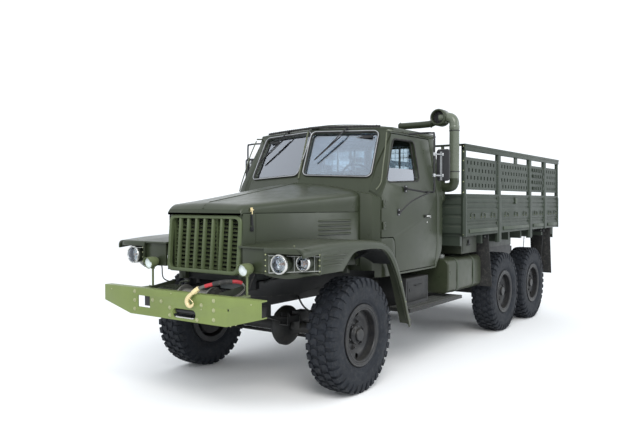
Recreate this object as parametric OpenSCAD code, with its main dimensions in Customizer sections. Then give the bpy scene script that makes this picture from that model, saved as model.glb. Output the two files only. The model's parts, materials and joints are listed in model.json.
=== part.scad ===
// Military cargo truck with three driven axles, a bonneted cab, a front winch
// and a stake-sided cargo bed.  +X is forward, +Y is left, +Z is up.
// Every outline below is measured along X from the front axle, and placed()
// moves it so that the origin lies on the ground under the middle of the truck.

/* [Running gear] */
// Front axle to middle axle
wheelbase = 3900; // [3400:10:4600]
// Middle axle to rear axle
bogie_spread = 1280; // [1200:10:1500]
// Distance between the middle planes of a left and a right wheel
track = 2000; // [1900:10:2150]
// Outside diameter of a tyre
tyre_d = 1125; // [1000:5:1200]
// Width of a tyre
tyre_w = 310; // [280:5:350]
// Diameter of the seat that a tyre's beads lie on
bead_d = 508; // [480:4:520]
// Diameter over a rim's flanges
flange_d = 606; // [580:2:640]
// Thickness of a rim's flanges
flange_t = 25; // [15:1:35]
// Wall of a rim's barrel and disc
rim_wall = 12; // [8:1:16]
// Radius of the circle of wheel nuts
nut_circle_r = 125; // [110:1:140]
// Radius of the stub axle that a hub turns on
spindle_r = 40; // [30:1:45]
// Outside radius of a brake drum
drum_r = 205; // [180:1:215]
// Kingpin axis, measured inward from the wheel's middle plane
kingpin_inset = 210; // [200:5:240]
// Length of the steering arms that the track rod joins
tie_arm = 260; // [250:5:300]
// Sideways place of the front axle's drive bowl
front_bowl_y = 200; // [150:10:220]

/* [Frame] */
// Width over the two frame rails
frame_w = 860; // [800:10:900]
// Width of one rail
rail_w = 80; // [60:5:90]
// Height of one rail
rail_h = 240; // [200:10:260]
// Height of the rails' top face above the ground
rail_top = 1100; // [1080:10:1140]

/* [Front end] */
// Front axle to the bumper's front face
front_overhang = 1353; // [1300:1:1450]
// Half width of the bumper
bumper_half = 1003; // [950:1:1100]
// Height of the bumper's top edge
bumper_top = 1043; // [1000:1:1060]
// Height of the bumper's lower edge between its knees
bumper_low = 792; // [760:1:820]
// Height of the bumper's lower edge at its ends
bumper_end_low = 892; // [860:1:920]
// Sideways place of the knees in the bumper's lower edge
bumper_knee = 618; // [560:1:680]
// Thickness of the bumper's plate
bumper_t = 12; // [8:1:16]
// How far the hook hangs ahead of the bumper
hook_reach = 62; // [60:1:80]
// Half width of the radiator grille
grille_half = 472; // [440:1:500]
// Number of upright bars in the grille
grille_bars = 7; // [5:1:9]
// Height of the grille's lower edge
grille_low = 1187; // [1150:1:1220]

/* [Bonnet] */
// Height of the line where the bonnet meets the side panels
bonnet_seam = 1750; // [1700:1:1780]
// Half width of the bonnet at its front
bonnet_front_half = 478; // [450:1:520]
// Half width of the bonnet at its rear
bonnet_rear_half = 812; // [780:1:840]
// Height of the bonnet's middle at its rear edge
bonnet_rear_top = 2060; // [2020:1:2100]
// Thickness of the bonnet
bonnet_t = 25; // [15:1:35]
// Largest angle that the bonnet opens to
bonnet_open = 50; // [40:1:55]

/* [Fenders] */
// Sideways place of a fender's outer face
fender_out = 1200; // [1180:1:1230]
// Thickness of a fender's panels
fender_t = 30; // [20:1:40]
// Radius of the outer lamp of each pair
side_lamp_r = 70; // [60:1:80]
// Radius of a headlamp
headlamp_r = 88; // [80:1:90]

/* [Cab] */
// Half width of the cab at its belt line
cab_half = 1040; // [1020:1:1060]
// Half width of the cab under its roof
cab_top_half = 916; // [900:1:950]
// Height of the cab's lower edge
cab_low = 1060; // [1040:1:1075]
// Height of the joint between the cab and its roof
cab_top = 2640; // [2600:1:2700]
// Front axle back to the cab's rear face
cab_back = 2000; // [1980:1:2040]
// Thickness of the cab's walls and doors
cab_wall = 60; // [40:1:70]
// Gap round a door
door_gap = 10; // [8:1:14]
// Largest angle that a door opens to
door_open = 70; // [50:1:75]
// How far the roof overhangs the cab
roof_lip = 28; // [15:1:40]
// Rise of the roof's middle over its edge
roof_rise = 90; // [60:1:110]
// Thickness of the window glass
glass_t = 6; // [4:1:8]

/* [Cargo bed] */
// Front axle back to the bed's front face
bed_front = 2250; // [2230:1:2300]
// Rear axle back to the bed's rear face
bed_tail = 1080; // [980:1:1200]
// Width over the bed's sides
bed_w = 2470; // [2400:2:2500]
// Height of the bed's floor
bed_floor_z = 1460; // [1440:1:1480]
// Height of the top of the bed's sides
bed_top = 2570; // [2450:1:2650]
// Depth of the posts in the bed's sides
post_d = 60; // [50:1:80]
// Thickness of the bed's boards
board_t = 40; // [30:1:50]
// Height of the lower board's top edge
board_top = 1953; // [1900:1:1980]
// Lowest and highest edge of the pierced panel
pierced_low = 2008; // [1990:1:2040]
// Highest edge of the pierced panel
pierced_high = 2406; // [2380:1:2430]
// Lower edge of the top rail
top_rail_low = 2492; // [2460:1:2500]
// Largest angle that the tailgate drops to
tailgate_open = 90; // [60:1:90]

/* [Hidden] */
$fn = 48;

clear = 5;            // between pieces that move past each other
pin_gap = 0.3;        // round a pin in its bore
hitch_reach = 110;    // how far the tow hitch stands behind the bed
mid_x = -wheelbase;
rear_x = -wheelbase - bogie_spread;
bed_rear = bed_tail - rear_x;
bed_half = bed_w / 2;
front_reach = front_overhang + hook_reach;
rear_reach = bed_rear + hitch_reach;
front_axle_x = (rear_reach - front_reach) / 2;
tyre_r = tyre_d / 2;
hub_z = tyre_r;
frame_half = frame_w / 2;
rail_in = frame_half - rail_w;
rail_low = rail_top - rail_h;
kingpin_y = track / 2 - kingpin_inset;
olive = [0.33, 0.38, 0.25];
dark = [0.12, 0.13, 0.12];
rubber = [0.13, 0.14, 0.16];

module placed() { translate([front_axle_x, 0, 0]) children(); }

module both_sides() {
  children();
  mirror([0, 1, 0]) children();
}

// A block between two corners
module block(low, high) { translate(low) cube(high - low); }

// A round bar between two points
module rod(a, b, r) {
  d = b - a;
  flat = norm([d[0], d[1]]);
  translate(a) rotate([0, atan2(flat, d[2]), atan2(d[1], d[0])])
    cylinder(h = norm(d), r = r);
}

// An outline in X and Z, as thick as from y0 to y1
module side_plate(outline, y0, y1) {
  translate([0, y1, 0]) rotate([90, 0, 0]) linear_extrude(y1 - y0) polygon(outline);
}

// An outline in Y and Z, as thick as from x0 to x1
module front_plate(outline, x0, x1) {
  translate([x0, 0, 0]) rotate([90, 0, 90]) linear_extrude(x1 - x0) polygon(outline);
}

// Points along a curve that leaves a towards b and arrives at d from c
function curve(a, b, c, d, n) = [for (i = [0:n]) let (t = i / n, u = 1 - t)
  u * u * u * a + 3 * u * u * t * b + 3 * u * t * t * c + t * t * t * d];

function reversed(list) = [for (i = [len(list) - 1:-1:0]) list[i]];

// A solid skinned over outlines that all have the same number of points
module loft(rings) {
  n = len(rings[0]);
  last = (len(rings) - 1) * n;
  polyhedron(
    points = [for (ring = rings) each ring],
    faces = concat([[for (i = [n - 1:-1:0]) i]], [[for (i = [0:n - 1]) last + i]],
      [for (j = [0:len(rings) - 2], i = [0:n - 1])
        let (a = j * n + i, b = j * n + (i + 1) % n) each [[a, b, a + n], [b, b + n, a + n]]]));
}

// ---------------------------------------------------------------- wheels

module at_wheel(x, side) {
  placed() translate([x, side * track / 2, hub_z]) rotate([-90 * side, 0, 0]) children();
}

rim_half = tyre_w / 2 - 12;          // outer face of a rim's flange
bead_half = rim_half - flange_t;     // outer face of a tyre's bead
disc_z = 35;                         // inner face of the wheel disc
disc_step = 25;                      // how far the disc is dished out near the barrel
disc_edge_r = 200;                   // where the dish ends
hand_hole_r = 28;
drum_in = -120;                      // inner edge of the brake drum
hub_r = 95;
hub_cap_r = 62;
hub_end = 118;
nut_r = 17;
nut_h = 26;
nut_count = 6;
shoulder = tyre_w / 2;

module tyre(x, side) {
  bead_r = bead_d / 2;
  half = [[bead_r, bead_half], [flange_d / 2 + 4, bead_half],
    [flange_d / 2 + 10, shoulder - 15], [tyre_r * 0.73, shoulder],
    [tyre_r * 0.85, shoulder - 3], [tyre_r * 0.94, shoulder - 14],
    [tyre_r * 0.98, shoulder - 42], [tyre_r, shoulder - 90]];
  color(rubber) at_wheel(x, side) rotate_extrude($fn = 96)
    polygon(concat(half, [for (p = reversed(half)) [p[0], -p[1]]]));
}

module wheel(x, side) {
  barrel_in = bead_d / 2 - rim_wall;
  rim = [[barrel_in, -rim_half], [flange_d / 2, -rim_half], [flange_d / 2, -bead_half],
    [bead_d / 2, -bead_half], [bead_d / 2, bead_half], [flange_d / 2, bead_half],
    [flange_d / 2, rim_half], [barrel_in, rim_half]];
  disc_out = disc_z + rim_wall;
  disc = [[hub_r - 5, disc_z], [disc_edge_r - 35, disc_z], [disc_edge_r, disc_z + disc_step],
    [barrel_in + 1, disc_z + disc_step], [barrel_in + 1, disc_out + disc_step],
    [disc_edge_r - 4, disc_out + disc_step], [disc_edge_r - 39, disc_out], [hub_r - 5, disc_out]];
  color(dark) at_wheel(x, side) difference() {
    union() {
      rotate_extrude($fn = 96) polygon(rim);
      difference() {
        rotate_extrude() polygon(disc);
        for (a = [90, 270]) rotate(a) translate([disc_edge_r + 6, 0, 0])
          cylinder(h = rim_half, r = hand_hole_r);
      }
      for (i = [0:nut_count - 1]) rotate(i * 360 / nut_count + 15)
        translate([nut_circle_r, 0, disc_out - 1]) cylinder(h = nut_h, r = nut_r, $fn = 6);
      translate([0, 0, drum_in]) difference() {
        cylinder(h = disc_z - drum_in + 1, r = drum_r);
        translate([0, 0, -1]) cylinder(h = -drum_in, r = drum_r - 2 * rim_wall);
      }
      translate([0, 0, drum_in / 2]) cylinder(h = disc_out + 30 - drum_in / 2, r = hub_r);
      cylinder(h = hub_end, r = hub_cap_r);
    }
    translate([0, 0, drum_in]) cylinder(h = disc_z - drum_in + 20, r = spindle_r + pin_gap);
  }
}

// The plate that closes a brake drum, and the stub axle
module stub() {
  translate([0, 0, drum_in - clear - 10]) cylinder(h = 10, r = drum_r - 8);
  translate([0, 0, drum_in - clear - 10]) cylinder(h = disc_z - drum_in + 20, r = spindle_r);
}

// ---------------------------------------------------------------- axles and steering

axle_r = 62;
ball_r = 70;
arm_z = 92;           // from the axle to the kingpin arms
arm_t = 30;
kingpin_r = 25;
tie_pin_r = 14;
tie_rod_r = 20;
seat_top = hub_z + 70;
bowl_r = 206;
spring_y = frame_half - 40;
spring_w = 76;
bogie_spring_y = frame_half + 65;
bogie_x = (mid_x + rear_x) / 2;
bogie_half = bogie_spread / 2 + 50;
bogie_drop = 130;
bogie_spring_z = seat_top + bogie_drop * pow(bogie_spread / 2 / bogie_half, 2);
pad_half = 20;
pad_drop = bogie_drop * (pow(bogie_spread / 2 + pad_half, 2) - pow(bogie_spread / 2, 2)) / pow(bogie_half, 2);

module bowl(x, y, half) {
  translate([x, y, hub_z]) rotate([-90, 0, 0]) rotate_extrude()
    polygon([[0, -half], [bowl_r * 0.45, -half], [bowl_r * 0.9, -half * 0.45],
      [bowl_r, -20], [bowl_r, 20], [bowl_r * 0.9, half * 0.45], [bowl_r * 0.45, half], [0, half]]);
}

module front_axle() {
  color(dark) placed() {
    difference() {
      union() {
        rod([0, -kingpin_y, hub_z], [0, kingpin_y, hub_z], axle_r);
        for (side = [-1, 1]) translate([0, side * kingpin_y, hub_z]) sphere(ball_r);
        bowl(0, front_bowl_y, 110);
        rod([-bowl_r + 30, front_bowl_y, hub_z], [-330, front_bowl_y, hub_z], 58);
        for (side = [-1, 1]) block([-70, side * spring_y - spring_w / 2, hub_z],
          [70, side * spring_y + spring_w / 2, seat_top]);
      }
      for (side = [-1, 1]) translate([0, side * kingpin_y, hub_z - ball_r])
        cylinder(h = 2 * ball_r, r = kingpin_r + pin_gap);
    }
  }
}

module knuckle(side) {
  plate_in = track / 2 + drum_in - clear - 10;
  color(dark) {
    at_wheel(0, side) stub();
    placed() mirror([0, side < 0 ? 1 : 0, 0]) {
      for (up = [0, 1]) {
        low = up == 1 ? hub_z + arm_z : hub_z - arm_z - arm_t;
        block([-45, kingpin_y - 40, low], [45, plate_in + 5, low + arm_t]);
        pin_low = up == 1 ? hub_z + 30 : low;
        translate([0, kingpin_y, pin_low])
          cylinder(h = up == 1 ? low - pin_low + arm_t : hub_z - 30 - low, r = kingpin_r);
      }
      low = hub_z - arm_z - arm_t;
      block([-tie_arm - 25, kingpin_y - 22, low], [-40, kingpin_y + 22, low + arm_t - 5]);
      translate([-tie_arm, kingpin_y, low - clear - 2 * tie_rod_r]) cylinder(h = 60, r = tie_pin_r);
    }
  }
}

module knuckle_left() { knuckle(1); }
module knuckle_right() { knuckle(-1); }

module track_rod() {
  z = hub_z - arm_z - arm_t - clear - tie_rod_r;
  end_y = kingpin_y;
  color(dark) placed() difference() {
    union() {
      rod([-tie_arm, -end_y, z], [-tie_arm, end_y, z], tie_rod_r - 2);
      for (side = [-1, 1]) translate([-tie_arm, side * end_y, z - tie_rod_r])
        cylinder(h = 2 * tie_rod_r, r = 28);
    }
    for (side = [-1, 1]) translate([-tie_arm, side * end_y, z - 50])
      cylinder(h = 100, r = tie_pin_r + pin_gap);
  }
}

module rear_axles() {
  plate_in = track / 2 + drum_in - clear;
  color(dark) for (x = [mid_x, rear_x]) {
    for (side = [-1, 1]) at_wheel(x, side) stub();
    placed() {
      rod([x, -plate_in, hub_z], [x, plate_in, hub_z], axle_r);
      bowl(x, 0, 130);
      rod([x + bowl_r - 40, 0, hub_z + 20], [x + 310, 0, hub_z + 20], 60);
      for (side = [-1, 1]) block([x - pad_half, side * bogie_spring_y - spring_w / 2, hub_z],
        [x + pad_half, side * bogie_spring_y + spring_w / 2, seat_top - pad_drop - 1]);
    }
  }
  color(dark) placed() rod([mid_x - bowl_r + 40, 0, hub_z + 20], [mid_x - 310, 0, hub_z + 20], 60);
}

// Outline of a stack of leaves: half length, thickness at the middle and at the
// tips, and how far the tips rise
function leaves(half, mid_t, tip_t, rise) = let (n = 8) concat(
  [for (i = [-n:n]) let (t = i / n) [half * t, rise * t * t]],
  [for (i = [n:-1:-n]) let (t = i / n) [half * t, rise * t * t + mid_t + (tip_t - mid_t) * abs(t)]]);

front_spring_half = 560;
front_spring_rise = 110;
trunnion_z = 690;
trunnion_r = 50;
torque_rod_y = 300;
torque_rod_r = 20;

module leaf_springs() {
  hanger_low = seat_top + front_spring_rise;
  w = spring_w / 2;
  color(dark) placed() both_sides() {
    translate([0, spring_y, seat_top])
      side_plate(leaves(front_spring_half, 80, 24, front_spring_rise), -w, w);
    for (x = [-front_spring_half, front_spring_half]) {
      block([x - 35, spring_y - w, hanger_low], [x + 35, spring_y + w, rail_low]);
    }
    block([-75, spring_y - w - 12, seat_top], [75, spring_y + w + 12, seat_top + 105]);
    translate([bogie_x, bogie_spring_y, bogie_spring_z])
      side_plate(leaves(bogie_half, 110, 30, -bogie_drop), -w, w);
    block([bogie_x - 90, bogie_spring_y - w - 12, trunnion_z],
      [bogie_x + 90, bogie_spring_y + w + 12, bogie_spring_z + 135]);
    block([bogie_x - 130, rail_in, trunnion_z - 50], [bogie_x + 130, frame_half, rail_low]);
    rod([bogie_x, 0, trunnion_z], [bogie_x, bogie_spring_y + w + 25, trunnion_z], trunnion_r);
    for (toward = [-1, 1]) rod([bogie_x + toward * 90, torque_rod_y, trunnion_z - 45],
      [bogie_x + toward * (bogie_spread / 2 - axle_r - 6), torque_rod_y, hub_z - 30], torque_rod_r);
  }
}

// ---------------------------------------------------------------- frame

horn_front = front_overhang - bumper_t;

module frame_rails() {
  cab_mount = 30;
  cross = [820, -1400, -2200, -2850, bogie_x, -bed_rear + 160];
  color(dark) placed() {
    both_sides() {
      difference() {
        block([-bed_rear + 120, rail_in, rail_low], [horn_front, frame_half, rail_top]);
        side_plate([[horn_front + 1, rail_low - 1], [horn_front - 330, rail_low - 1],
          [horn_front - 150, rail_low + 22], [horn_front + 1, rail_low + 22]], 0, frame_half + 1);
        block([700, 0, bumper_top - bumper_t], [horn_front + 1, frame_half + 1, rail_top + 1]);
      }
      for (x = [-700, -1850]) block([x - 50, rail_in, rail_top],
        [x + 50, frame_half, rail_top + cab_mount]);
    }
    for (x = cross) block([x - 40, -rail_in, rail_low + 90], [x + 40, rail_in, rail_top - 80]);
  }
}

roller_half = 135;
cheek_t = 15;         // plates that hold the fairlead's roller
bumper_green = [0.42, 0.48, 0.28];

module front_bumper() {
  flange = 80;
  face = [[-bumper_half, bumper_top], [-bumper_half, bumper_end_low], [-bumper_knee, bumper_low],
    [bumper_knee, bumper_low], [bumper_half, bumper_end_low], [bumper_half, bumper_top]];
  inner = [[-bumper_half - 1, bumper_top - bumper_t], [-bumper_half - 1, bumper_end_low + bumper_t],
    [-bumper_knee, bumper_low + bumper_t], [bumper_knee, bumper_low + bumper_t],
    [bumper_half + 1, bumper_end_low + bumper_t], [bumper_half + 1, bumper_top - bumper_t]];
  color(bumper_green) placed() for (low = [-roller_half - cheek_t, roller_half])
    block([front_overhang - 70, fairlead_y + low, fairlead_z - 10],
      [front_overhang - bumper_t + 1, fairlead_y + low + cheek_t, fairlead_z + 60]);
  color(bumper_green) placed() difference() {
    front_plate(face, front_overhang - flange, front_overhang);
    front_plate(inner, front_overhang - flange - 1, front_overhang - bumper_t);
    block([front_overhang - 40, tow_window[0], tow_window[1]],
      [front_overhang + 1, tow_window[2], tow_window[3]]);
    hull() for (y = [fairlead_y - fairlead_half, fairlead_y + fairlead_half])
      translate([front_overhang - 40, y, fairlead_z]) rotate([0, 90, 0])
        cylinder(h = 60, r = fairlead_r, $fn = 32);
    translate([front_overhang - 40, bolt_hole[0], bolt_hole[1]]) rotate([0, 90, 0])
      cylinder(h = 60, r = bolt_hole_r);
    both_sides() block([front_overhang - flange - 1, rail_in, rail_low + 22],
      [horn_front, frame_half, bumper_top - bumper_t]);
  }
}

tow_window = [-512, 867, -344, 974];
fairlead_y = 108;
fairlead_half = 105;
fairlead_z = 855;
fairlead_r = 42;
bolt_hole = [640, 936];
bolt_hole_r = 12;
winch_x = 1165;
winch_z = 960;
drum_half = 190;
winch_drum_r = 90;
drum_flange_r = 128;
roller_r = 18;

module winch() {
  color([0.25, 0.27, 0.24]) placed() {
    rod([winch_x, fairlead_y - drum_half, winch_z],
      [winch_x, fairlead_y + drum_half, winch_z], winch_drum_r);
    for (y = [fairlead_y - drum_half, fairlead_y + drum_half - 20])
      rod([winch_x, y, winch_z], [winch_x, y + 20, winch_z], drum_flange_r);
    block([winch_x - 120, -rail_in, winch_z - 90],
      [winch_x + 90, fairlead_y - drum_half + 1, winch_z + 90]);
    block([winch_x - 70, fairlead_y + drum_half - 1, winch_z - 60],
      [winch_x + 70, rail_in, winch_z + 60]);
    block([winch_x - 130, -rail_in, winch_z - 110], [winch_x + 60, rail_in, winch_z - 95]);
    block([winch_x - 130, -rail_in, winch_z - 100], [winch_x - 95, fairlead_y - drum_half, winch_z]);
    rod([front_overhang - 45, fairlead_y - roller_half, fairlead_z + 27],
      [front_overhang - 45, fairlead_y + roller_half, fairlead_z + 27], roller_r);
    hook();
  }
}

// Hook on the end of the cable, hung over the bumper's top edge
module hook() {
  y = fairlead_y + 80;
  top = bumper_top + 60;
  out = front_overhang + 30;
  rod([winch_x, y, winch_z + 115], [front_overhang - 10, y, top - 20], 14);
  rod([front_overhang - 14, y, top - 19], [out + 4, y, top - 38], 18);
  rod([out, y, top - 30], [out, y, bumper_top - 45], 18);
  translate([out, y, bumper_top - 80]) rotate([0, 90, 0]) rotate(200)
    rotate_extrude(angle = 280) translate([38, 0]) circle(15);
  block([out - 22, y - 20, bumper_top - 35], [front_overhang + hook_reach, y + 20, bumper_top + 5]);
}

// ---------------------------------------------------------------- engine bay

module engine() {
  color([0.3, 0.31, 0.3]) placed() {
    block([-380, -240, 1080], [600, 240, 1560]);
    block([-380, -170, 800], [600, 170, 1081]);
    both_sides() block([100, 160, 980], [220, rail_in, 1040]);
  }
}

module gearbox() {
  color([0.3, 0.31, 0.3]) placed() {
    rod([-560, 0, 930], [-380, 0, 930], 120);
    block([-1250, -130, 810], [-559, 130, 1050]);
    block([-2700, -120, 660], [-2330, 290, 980]);
    both_sides() block([-2560, 100, 880], [-2460, rail_in, 930]);
    block([-1150, -rail_in, 880], [-1080, rail_in, 930]);
  }
}

module drive_shafts() {
  runs = [
    [[-1250, 0, 880], [-2330, 0, 880]],
    [[-330, front_bowl_y, hub_z], [-2330, front_bowl_y, 740]],
    [[-2700, 0, 740], [mid_x + 310, 0, hub_z + 20]],
    [[mid_x - 310, 0, hub_z + 20], [rear_x + 310, 0, hub_z + 20]]];
  color(dark) placed() for (run = runs) {
    along = (run[1] - run[0]) / norm(run[1] - run[0]);
    a = run[0] + 60 * abs(along[2]) * along;
    b = run[1] - 60 * abs(along[2]) * along;
    rod(a, b, 38);
    rod(a, a + 50 * along, 60);
    rod(b - 50 * along, b, 60);
  }
}

module radiator() {
  color(dark) placed() {
    difference() {
      block([740, -430, rail_top], [850, 430, 1700]);
      block([790, -380, rail_top + 60], [851, 380, 1650]);
    }
    both_sides() block([750, rail_in, bumper_top - bumper_t], [840, frame_half, rail_top + 1]);
  }
}

grille_lean = 4.5;
grille_foot = 1037;
grille_h = 548;
grille_edge = 36;
grille_depth = 40;

module rounded(w, h, r) {
  translate([-w / 2, 0]) hull() for (x = [r, w - r], y = [r, h - r]) translate([x, y]) circle(r, $fn = 24);
}

module grille() {
  bar_w = 36;
  inner_w = 2 * (grille_half - grille_edge);
  pitch = inner_w / (grille_bars + 1);
  color([0.40, 0.45, 0.29]) placed() translate([grille_foot, 0, grille_low])
    rotate([0, -grille_lean, 0]) {
      translate([-grille_depth, 0, 0]) rotate([90, 0, 90]) linear_extrude(grille_depth) difference() {
        rounded(2 * grille_half, grille_h, 70);
        translate([0, grille_edge]) rounded(inner_w, grille_h - 2 * grille_edge, 50);
      }
      for (i = [1:grille_bars])
        block([-grille_depth + 5, -inner_w / 2 + i * pitch - bar_w / 2, grille_edge - 5],
          [-5, -inner_w / 2 + i * pitch + bar_w / 2, grille_h - grille_edge + 5]);
    }
}

bonnet_front = 1010;
bonnet_rear = -452;
panel_t = 20;
side_low = 1200;
side_front = 985;

// Half width of the bonnet and of the panels under it, at x
function bonnet_half(x) = bonnet_front_half
  + (bonnet_rear_half - bonnet_front_half) * (bonnet_front - x) / (bonnet_front - bonnet_rear);

// Panels that close the engine bay's sides
module engine_sides() {
  seam = 5;
  color(olive) placed() both_sides() {
    difference() {
      translate([0, 0, side_low]) linear_extrude(bonnet_seam - seam - side_low) polygon([
        [side_front, bonnet_half(side_front)], [bonnet_rear, bonnet_half(bonnet_rear)],
        [bonnet_rear, bonnet_half(bonnet_rear) - panel_t],
        [side_front, bonnet_half(side_front) - panel_t]]);
      block([side_front - 60, 0, 0], [side_front + 100, grille_half, 2000]);
    }
    block([850, 400, side_low], [900, bonnet_half(900) - panel_t + 2, bonnet_seam - seam]);
    for (x = [870, 100, -350]) block([x - 30, bonnet_half(x) - panel_t, bonnet_seam - seam - 5],
      [x + 30, bonnet_half(x) - 8, bonnet_seam - pin_gap]);
    block([bonnet_rear, 380, rail_top], [bonnet_rear + 50, 700, rail_top + 140]);
    block([bonnet_rear, 650, rail_top + 90], [bonnet_rear + 50, bonnet_rear_half - 1, side_low + 80]);
    block([850, 350, rail_top], [900, 440, side_low + 1]);
  }
}

// ---------------------------------------------------------------- bonnet

function crease_z(x) = 1818 + (1945 - 1818) * (bonnet_front - x) / (bonnet_front - bonnet_rear);
function crown_z(x) = 1832 + (bonnet_rear_top - 1832) * (bonnet_front - x) / (bonnet_front - bonnet_rear);

// Outline across the bonnet at x, lowered by drop and narrowed by inset
function bonnet_ring(x, drop, inset, low) = let (
    w = bonnet_half(x) - inset,
    c = crease_z(x) - drop,
    k = crown_z(x) - drop,
    left = concat([[x, w, low], [x, w, c - 35], [x, w - 12, c - 10]],
      [for (t = [0.94, 0.7, 0.45, 0.2]) [x, w * t, c + (k - c) * (1 - t * t)]]))
  concat(left, [for (p = reversed(left)) [p[0], -p[1], p[2]]]);

module bonnet() {
  nose = [[bonnet_front, 52], [bonnet_front - 18, 24], [bonnet_front - 60, 8]];
  stations = concat(nose, [for (x = [700, 300, -100, bonnet_rear]) [x, 0]]);
  color(olive) placed() difference() {
    loft([for (s = stations) bonnet_ring(s[0], s[1], 0, bonnet_seam)]);
    loft([for (x = [bonnet_front - bonnet_t, 700, 300, -100, bonnet_rear - 1])
      bonnet_ring(x, bonnet_t + (x > 900 ? 14 : 0), bonnet_t, bonnet_seam - 50)]);
  }
}

// ---------------------------------------------------------------- fenders

lip_x = 1040;
lip_z = 1457;
lamp_low = 1222;
lamp_panel_in = [1050, 790];
lamp_panel_out = [790, fender_out - 10];
fender_foot = [-935, 545];

// Upper edge of a fender, from its front lip to its foot
fender_top = concat([[lip_x, lip_z], [700, 1484], [300, 1497], [0, 1485]],
  curve([-250, 1466], [-520, 1440], [-640, 1270], [-820, 820], 8), [fender_foot]);
// Edge of the wheel arch, from the front to the foot
arch = concat([[440, 1225]], curve([300, 1350], [240, 1402], [160, 1404], [0, 1404], 4),
  curve([-200, 1404], [-430, 1390], [-560, 1200], [-745, 820], 6), [[fender_foot[0] + 70, fender_foot[1]]]);
fender_under = [for (i = [0:len(fender_top) - 1]) let (
    a = fender_top[max(0, i - 1)], b = fender_top[min(len(fender_top) - 1, i + 1)],
    d = (b - a) / norm(b - a)) fender_top[i] + fender_t * [-d[1], d[0]]];

module fender(side) {
  color(olive) placed() mirror([0, side < 0 ? 1 : 0, 0]) difference() {
    union() {
      side_plate(concat(fender_top, reversed(fender_under)), 400, fender_out);
      side_plate(concat(fender_top, reversed(arch), [[lamp_panel_out[0] - 10, lamp_low]],
        [[lamp_panel_out[0] - 10, lip_z - 10]]), fender_out - fender_t, fender_out);
      side_plate([[lip_x, lip_z], [lip_x, lip_z - 48], [lip_x - fender_t, lip_z - 48],
        [lip_x - fender_t, lip_z]], 780, fender_out);
      translate([0, 0, lamp_low]) linear_extrude(lip_z - lamp_low) polygon([lamp_panel_in,
        lamp_panel_out, lamp_panel_out - [fender_t, 0], lamp_panel_in - [fender_t, 0]]);
      block([560, 560, lamp_low], [lamp_panel_in[0] - 20, lamp_panel_in[1] + 4, lamp_low + fender_t]);
      block([lamp_panel_in[0] - 60, 500, lamp_low],
        [lamp_panel_in[0] - fender_t, lamp_panel_in[1] + 8, lip_z]);
    }
    linear_extrude(2000) polygon([[lip_x + 60, 300],
      [lip_x + 60, bonnet_half(lip_x + 60)], [bonnet_rear, bonnet_half(bonnet_rear)],
      [bonnet_rear, cab_half + 6], [-1400, cab_half + 6], [-1400, 300]]);
    block([-600, 0, 0], [lip_x + 100, 780, 1400]);
  }
}

module fender_left() { fender(1); }
module fender_right() { fender(-1); }

headlamp_at = [1062, 948, 1318];
side_lamp_at = [935, 1108, 1326];
marker_at = [1140, 615, 1255];

module lamps() {
  color([0.85, 0.87, 0.88]) placed() both_sides() {
    difference() {
      union() {
        rod(headlamp_at - [200, 0, 0], headlamp_at, headlamp_r);
        rod(side_lamp_at - [200, 0, 0], side_lamp_at, side_lamp_r);
      }
      linear_extrude(2000) polygon([lamp_panel_in + [65, -100], lamp_panel_out + [-65, 100],
        [500, fender_out + 100], [500, 600]]);
    }
    rod(marker_at - [110, 0, 0], marker_at, 55);
    rod([marker_at[0] - 60, marker_at[1], bumper_top - 20], marker_at - [60, 0, 0], 14);
    block([marker_at[0] - 80, marker_at[1] - 20, bumper_top - 30],
      [front_overhang - 70, marker_at[1] + 20, bumper_top - bumper_t]);
    block([-bed_rear - 30, bed_half - 260, 1250], [-bed_rear, bed_half - 110, 1365]);
  }
}

// ---------------------------------------------------------------- cab

cab_front = -460;
belt_z = 1900;
screen_foot = [-465, 2064];            // middle of the windscreen's lower edge, X and Z
screen_head = [-769, 2691];            // middle of its upper edge
screen_rake = atan2(screen_foot[0] - screen_head[0], screen_head[1] - screen_foot[1]);
screen_sweep = 11.7;                   // each half turns back by this angle
floor_low = rail_top + 30;
floor_t = 50;

// Everything behind the windscreen's two planes, moved back by inset
module behind_screen(inset) {
  for (side = [-1, 1]) intersection() {
    translate([screen_foot[0], 0, screen_foot[1]]) rotate([0, 0, side * screen_sweep])
      rotate([0, -screen_rake, 0]) translate([-3000 - inset, -3000, -2500]) cube([3000, 6000, 5000]);
    block([-3000, side > 0 ? 0 : -1200, 0], [0, side > 0 ? 1200 : 0, 3200]);
  }
}

// The cab's outer shape, drawn in by inset
module cab_solid(inset, low) {
  front_view = [[-cab_half + inset + 30, low], [-cab_half + inset, low + 300], [-cab_half + inset, belt_z],
    [-cab_top_half + inset, cab_top + 1], [cab_top_half - inset, cab_top + 1], [cab_half - inset, belt_z],
    [cab_half - inset, low + 300], [cab_half - inset - 30, low]];
  scuttle = [[-cab_half + inset + 30, low], [-cab_half + inset, low + 300],
    [-cab_half + inset, 1860 - inset],
    [-930 + inset, 1925 - inset], [-bonnet_rear_half * 0.94, 1960 - inset],
    [-bonnet_rear_half * 0.45, 2038 - inset], [0, bonnet_rear_top - inset],
    [bonnet_rear_half * 0.45, 2038 - inset], [bonnet_rear_half * 0.94, 1960 - inset],
    [930 - inset, 1925 - inset], [cab_half - inset, 1860 - inset],
    [cab_half - inset, low + 300], [cab_half - inset - 30, low]];
  corner = [[cab_front - inset, 825 - inset / 2], [cab_front - 60 - inset, 930 - inset / 2],
    [cab_front - 140 - inset, 1002 - inset * 0.8], [cab_front - 300 - inset, cab_half - inset],
    [-cab_back + inset, cab_half - inset]];
  plan = concat(corner, [for (p = reversed(corner)) [p[0], -p[1]]]);
  intersection() {
    union() {
      intersection() {
        front_plate(front_view, -cab_back + inset, cab_front);
        behind_screen(inset);
      }
      front_plate(scuttle, -900, cab_front);
    }
    translate([0, 0, low]) linear_extrude(cab_top - low) polygon(plan);
  }
}

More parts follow.
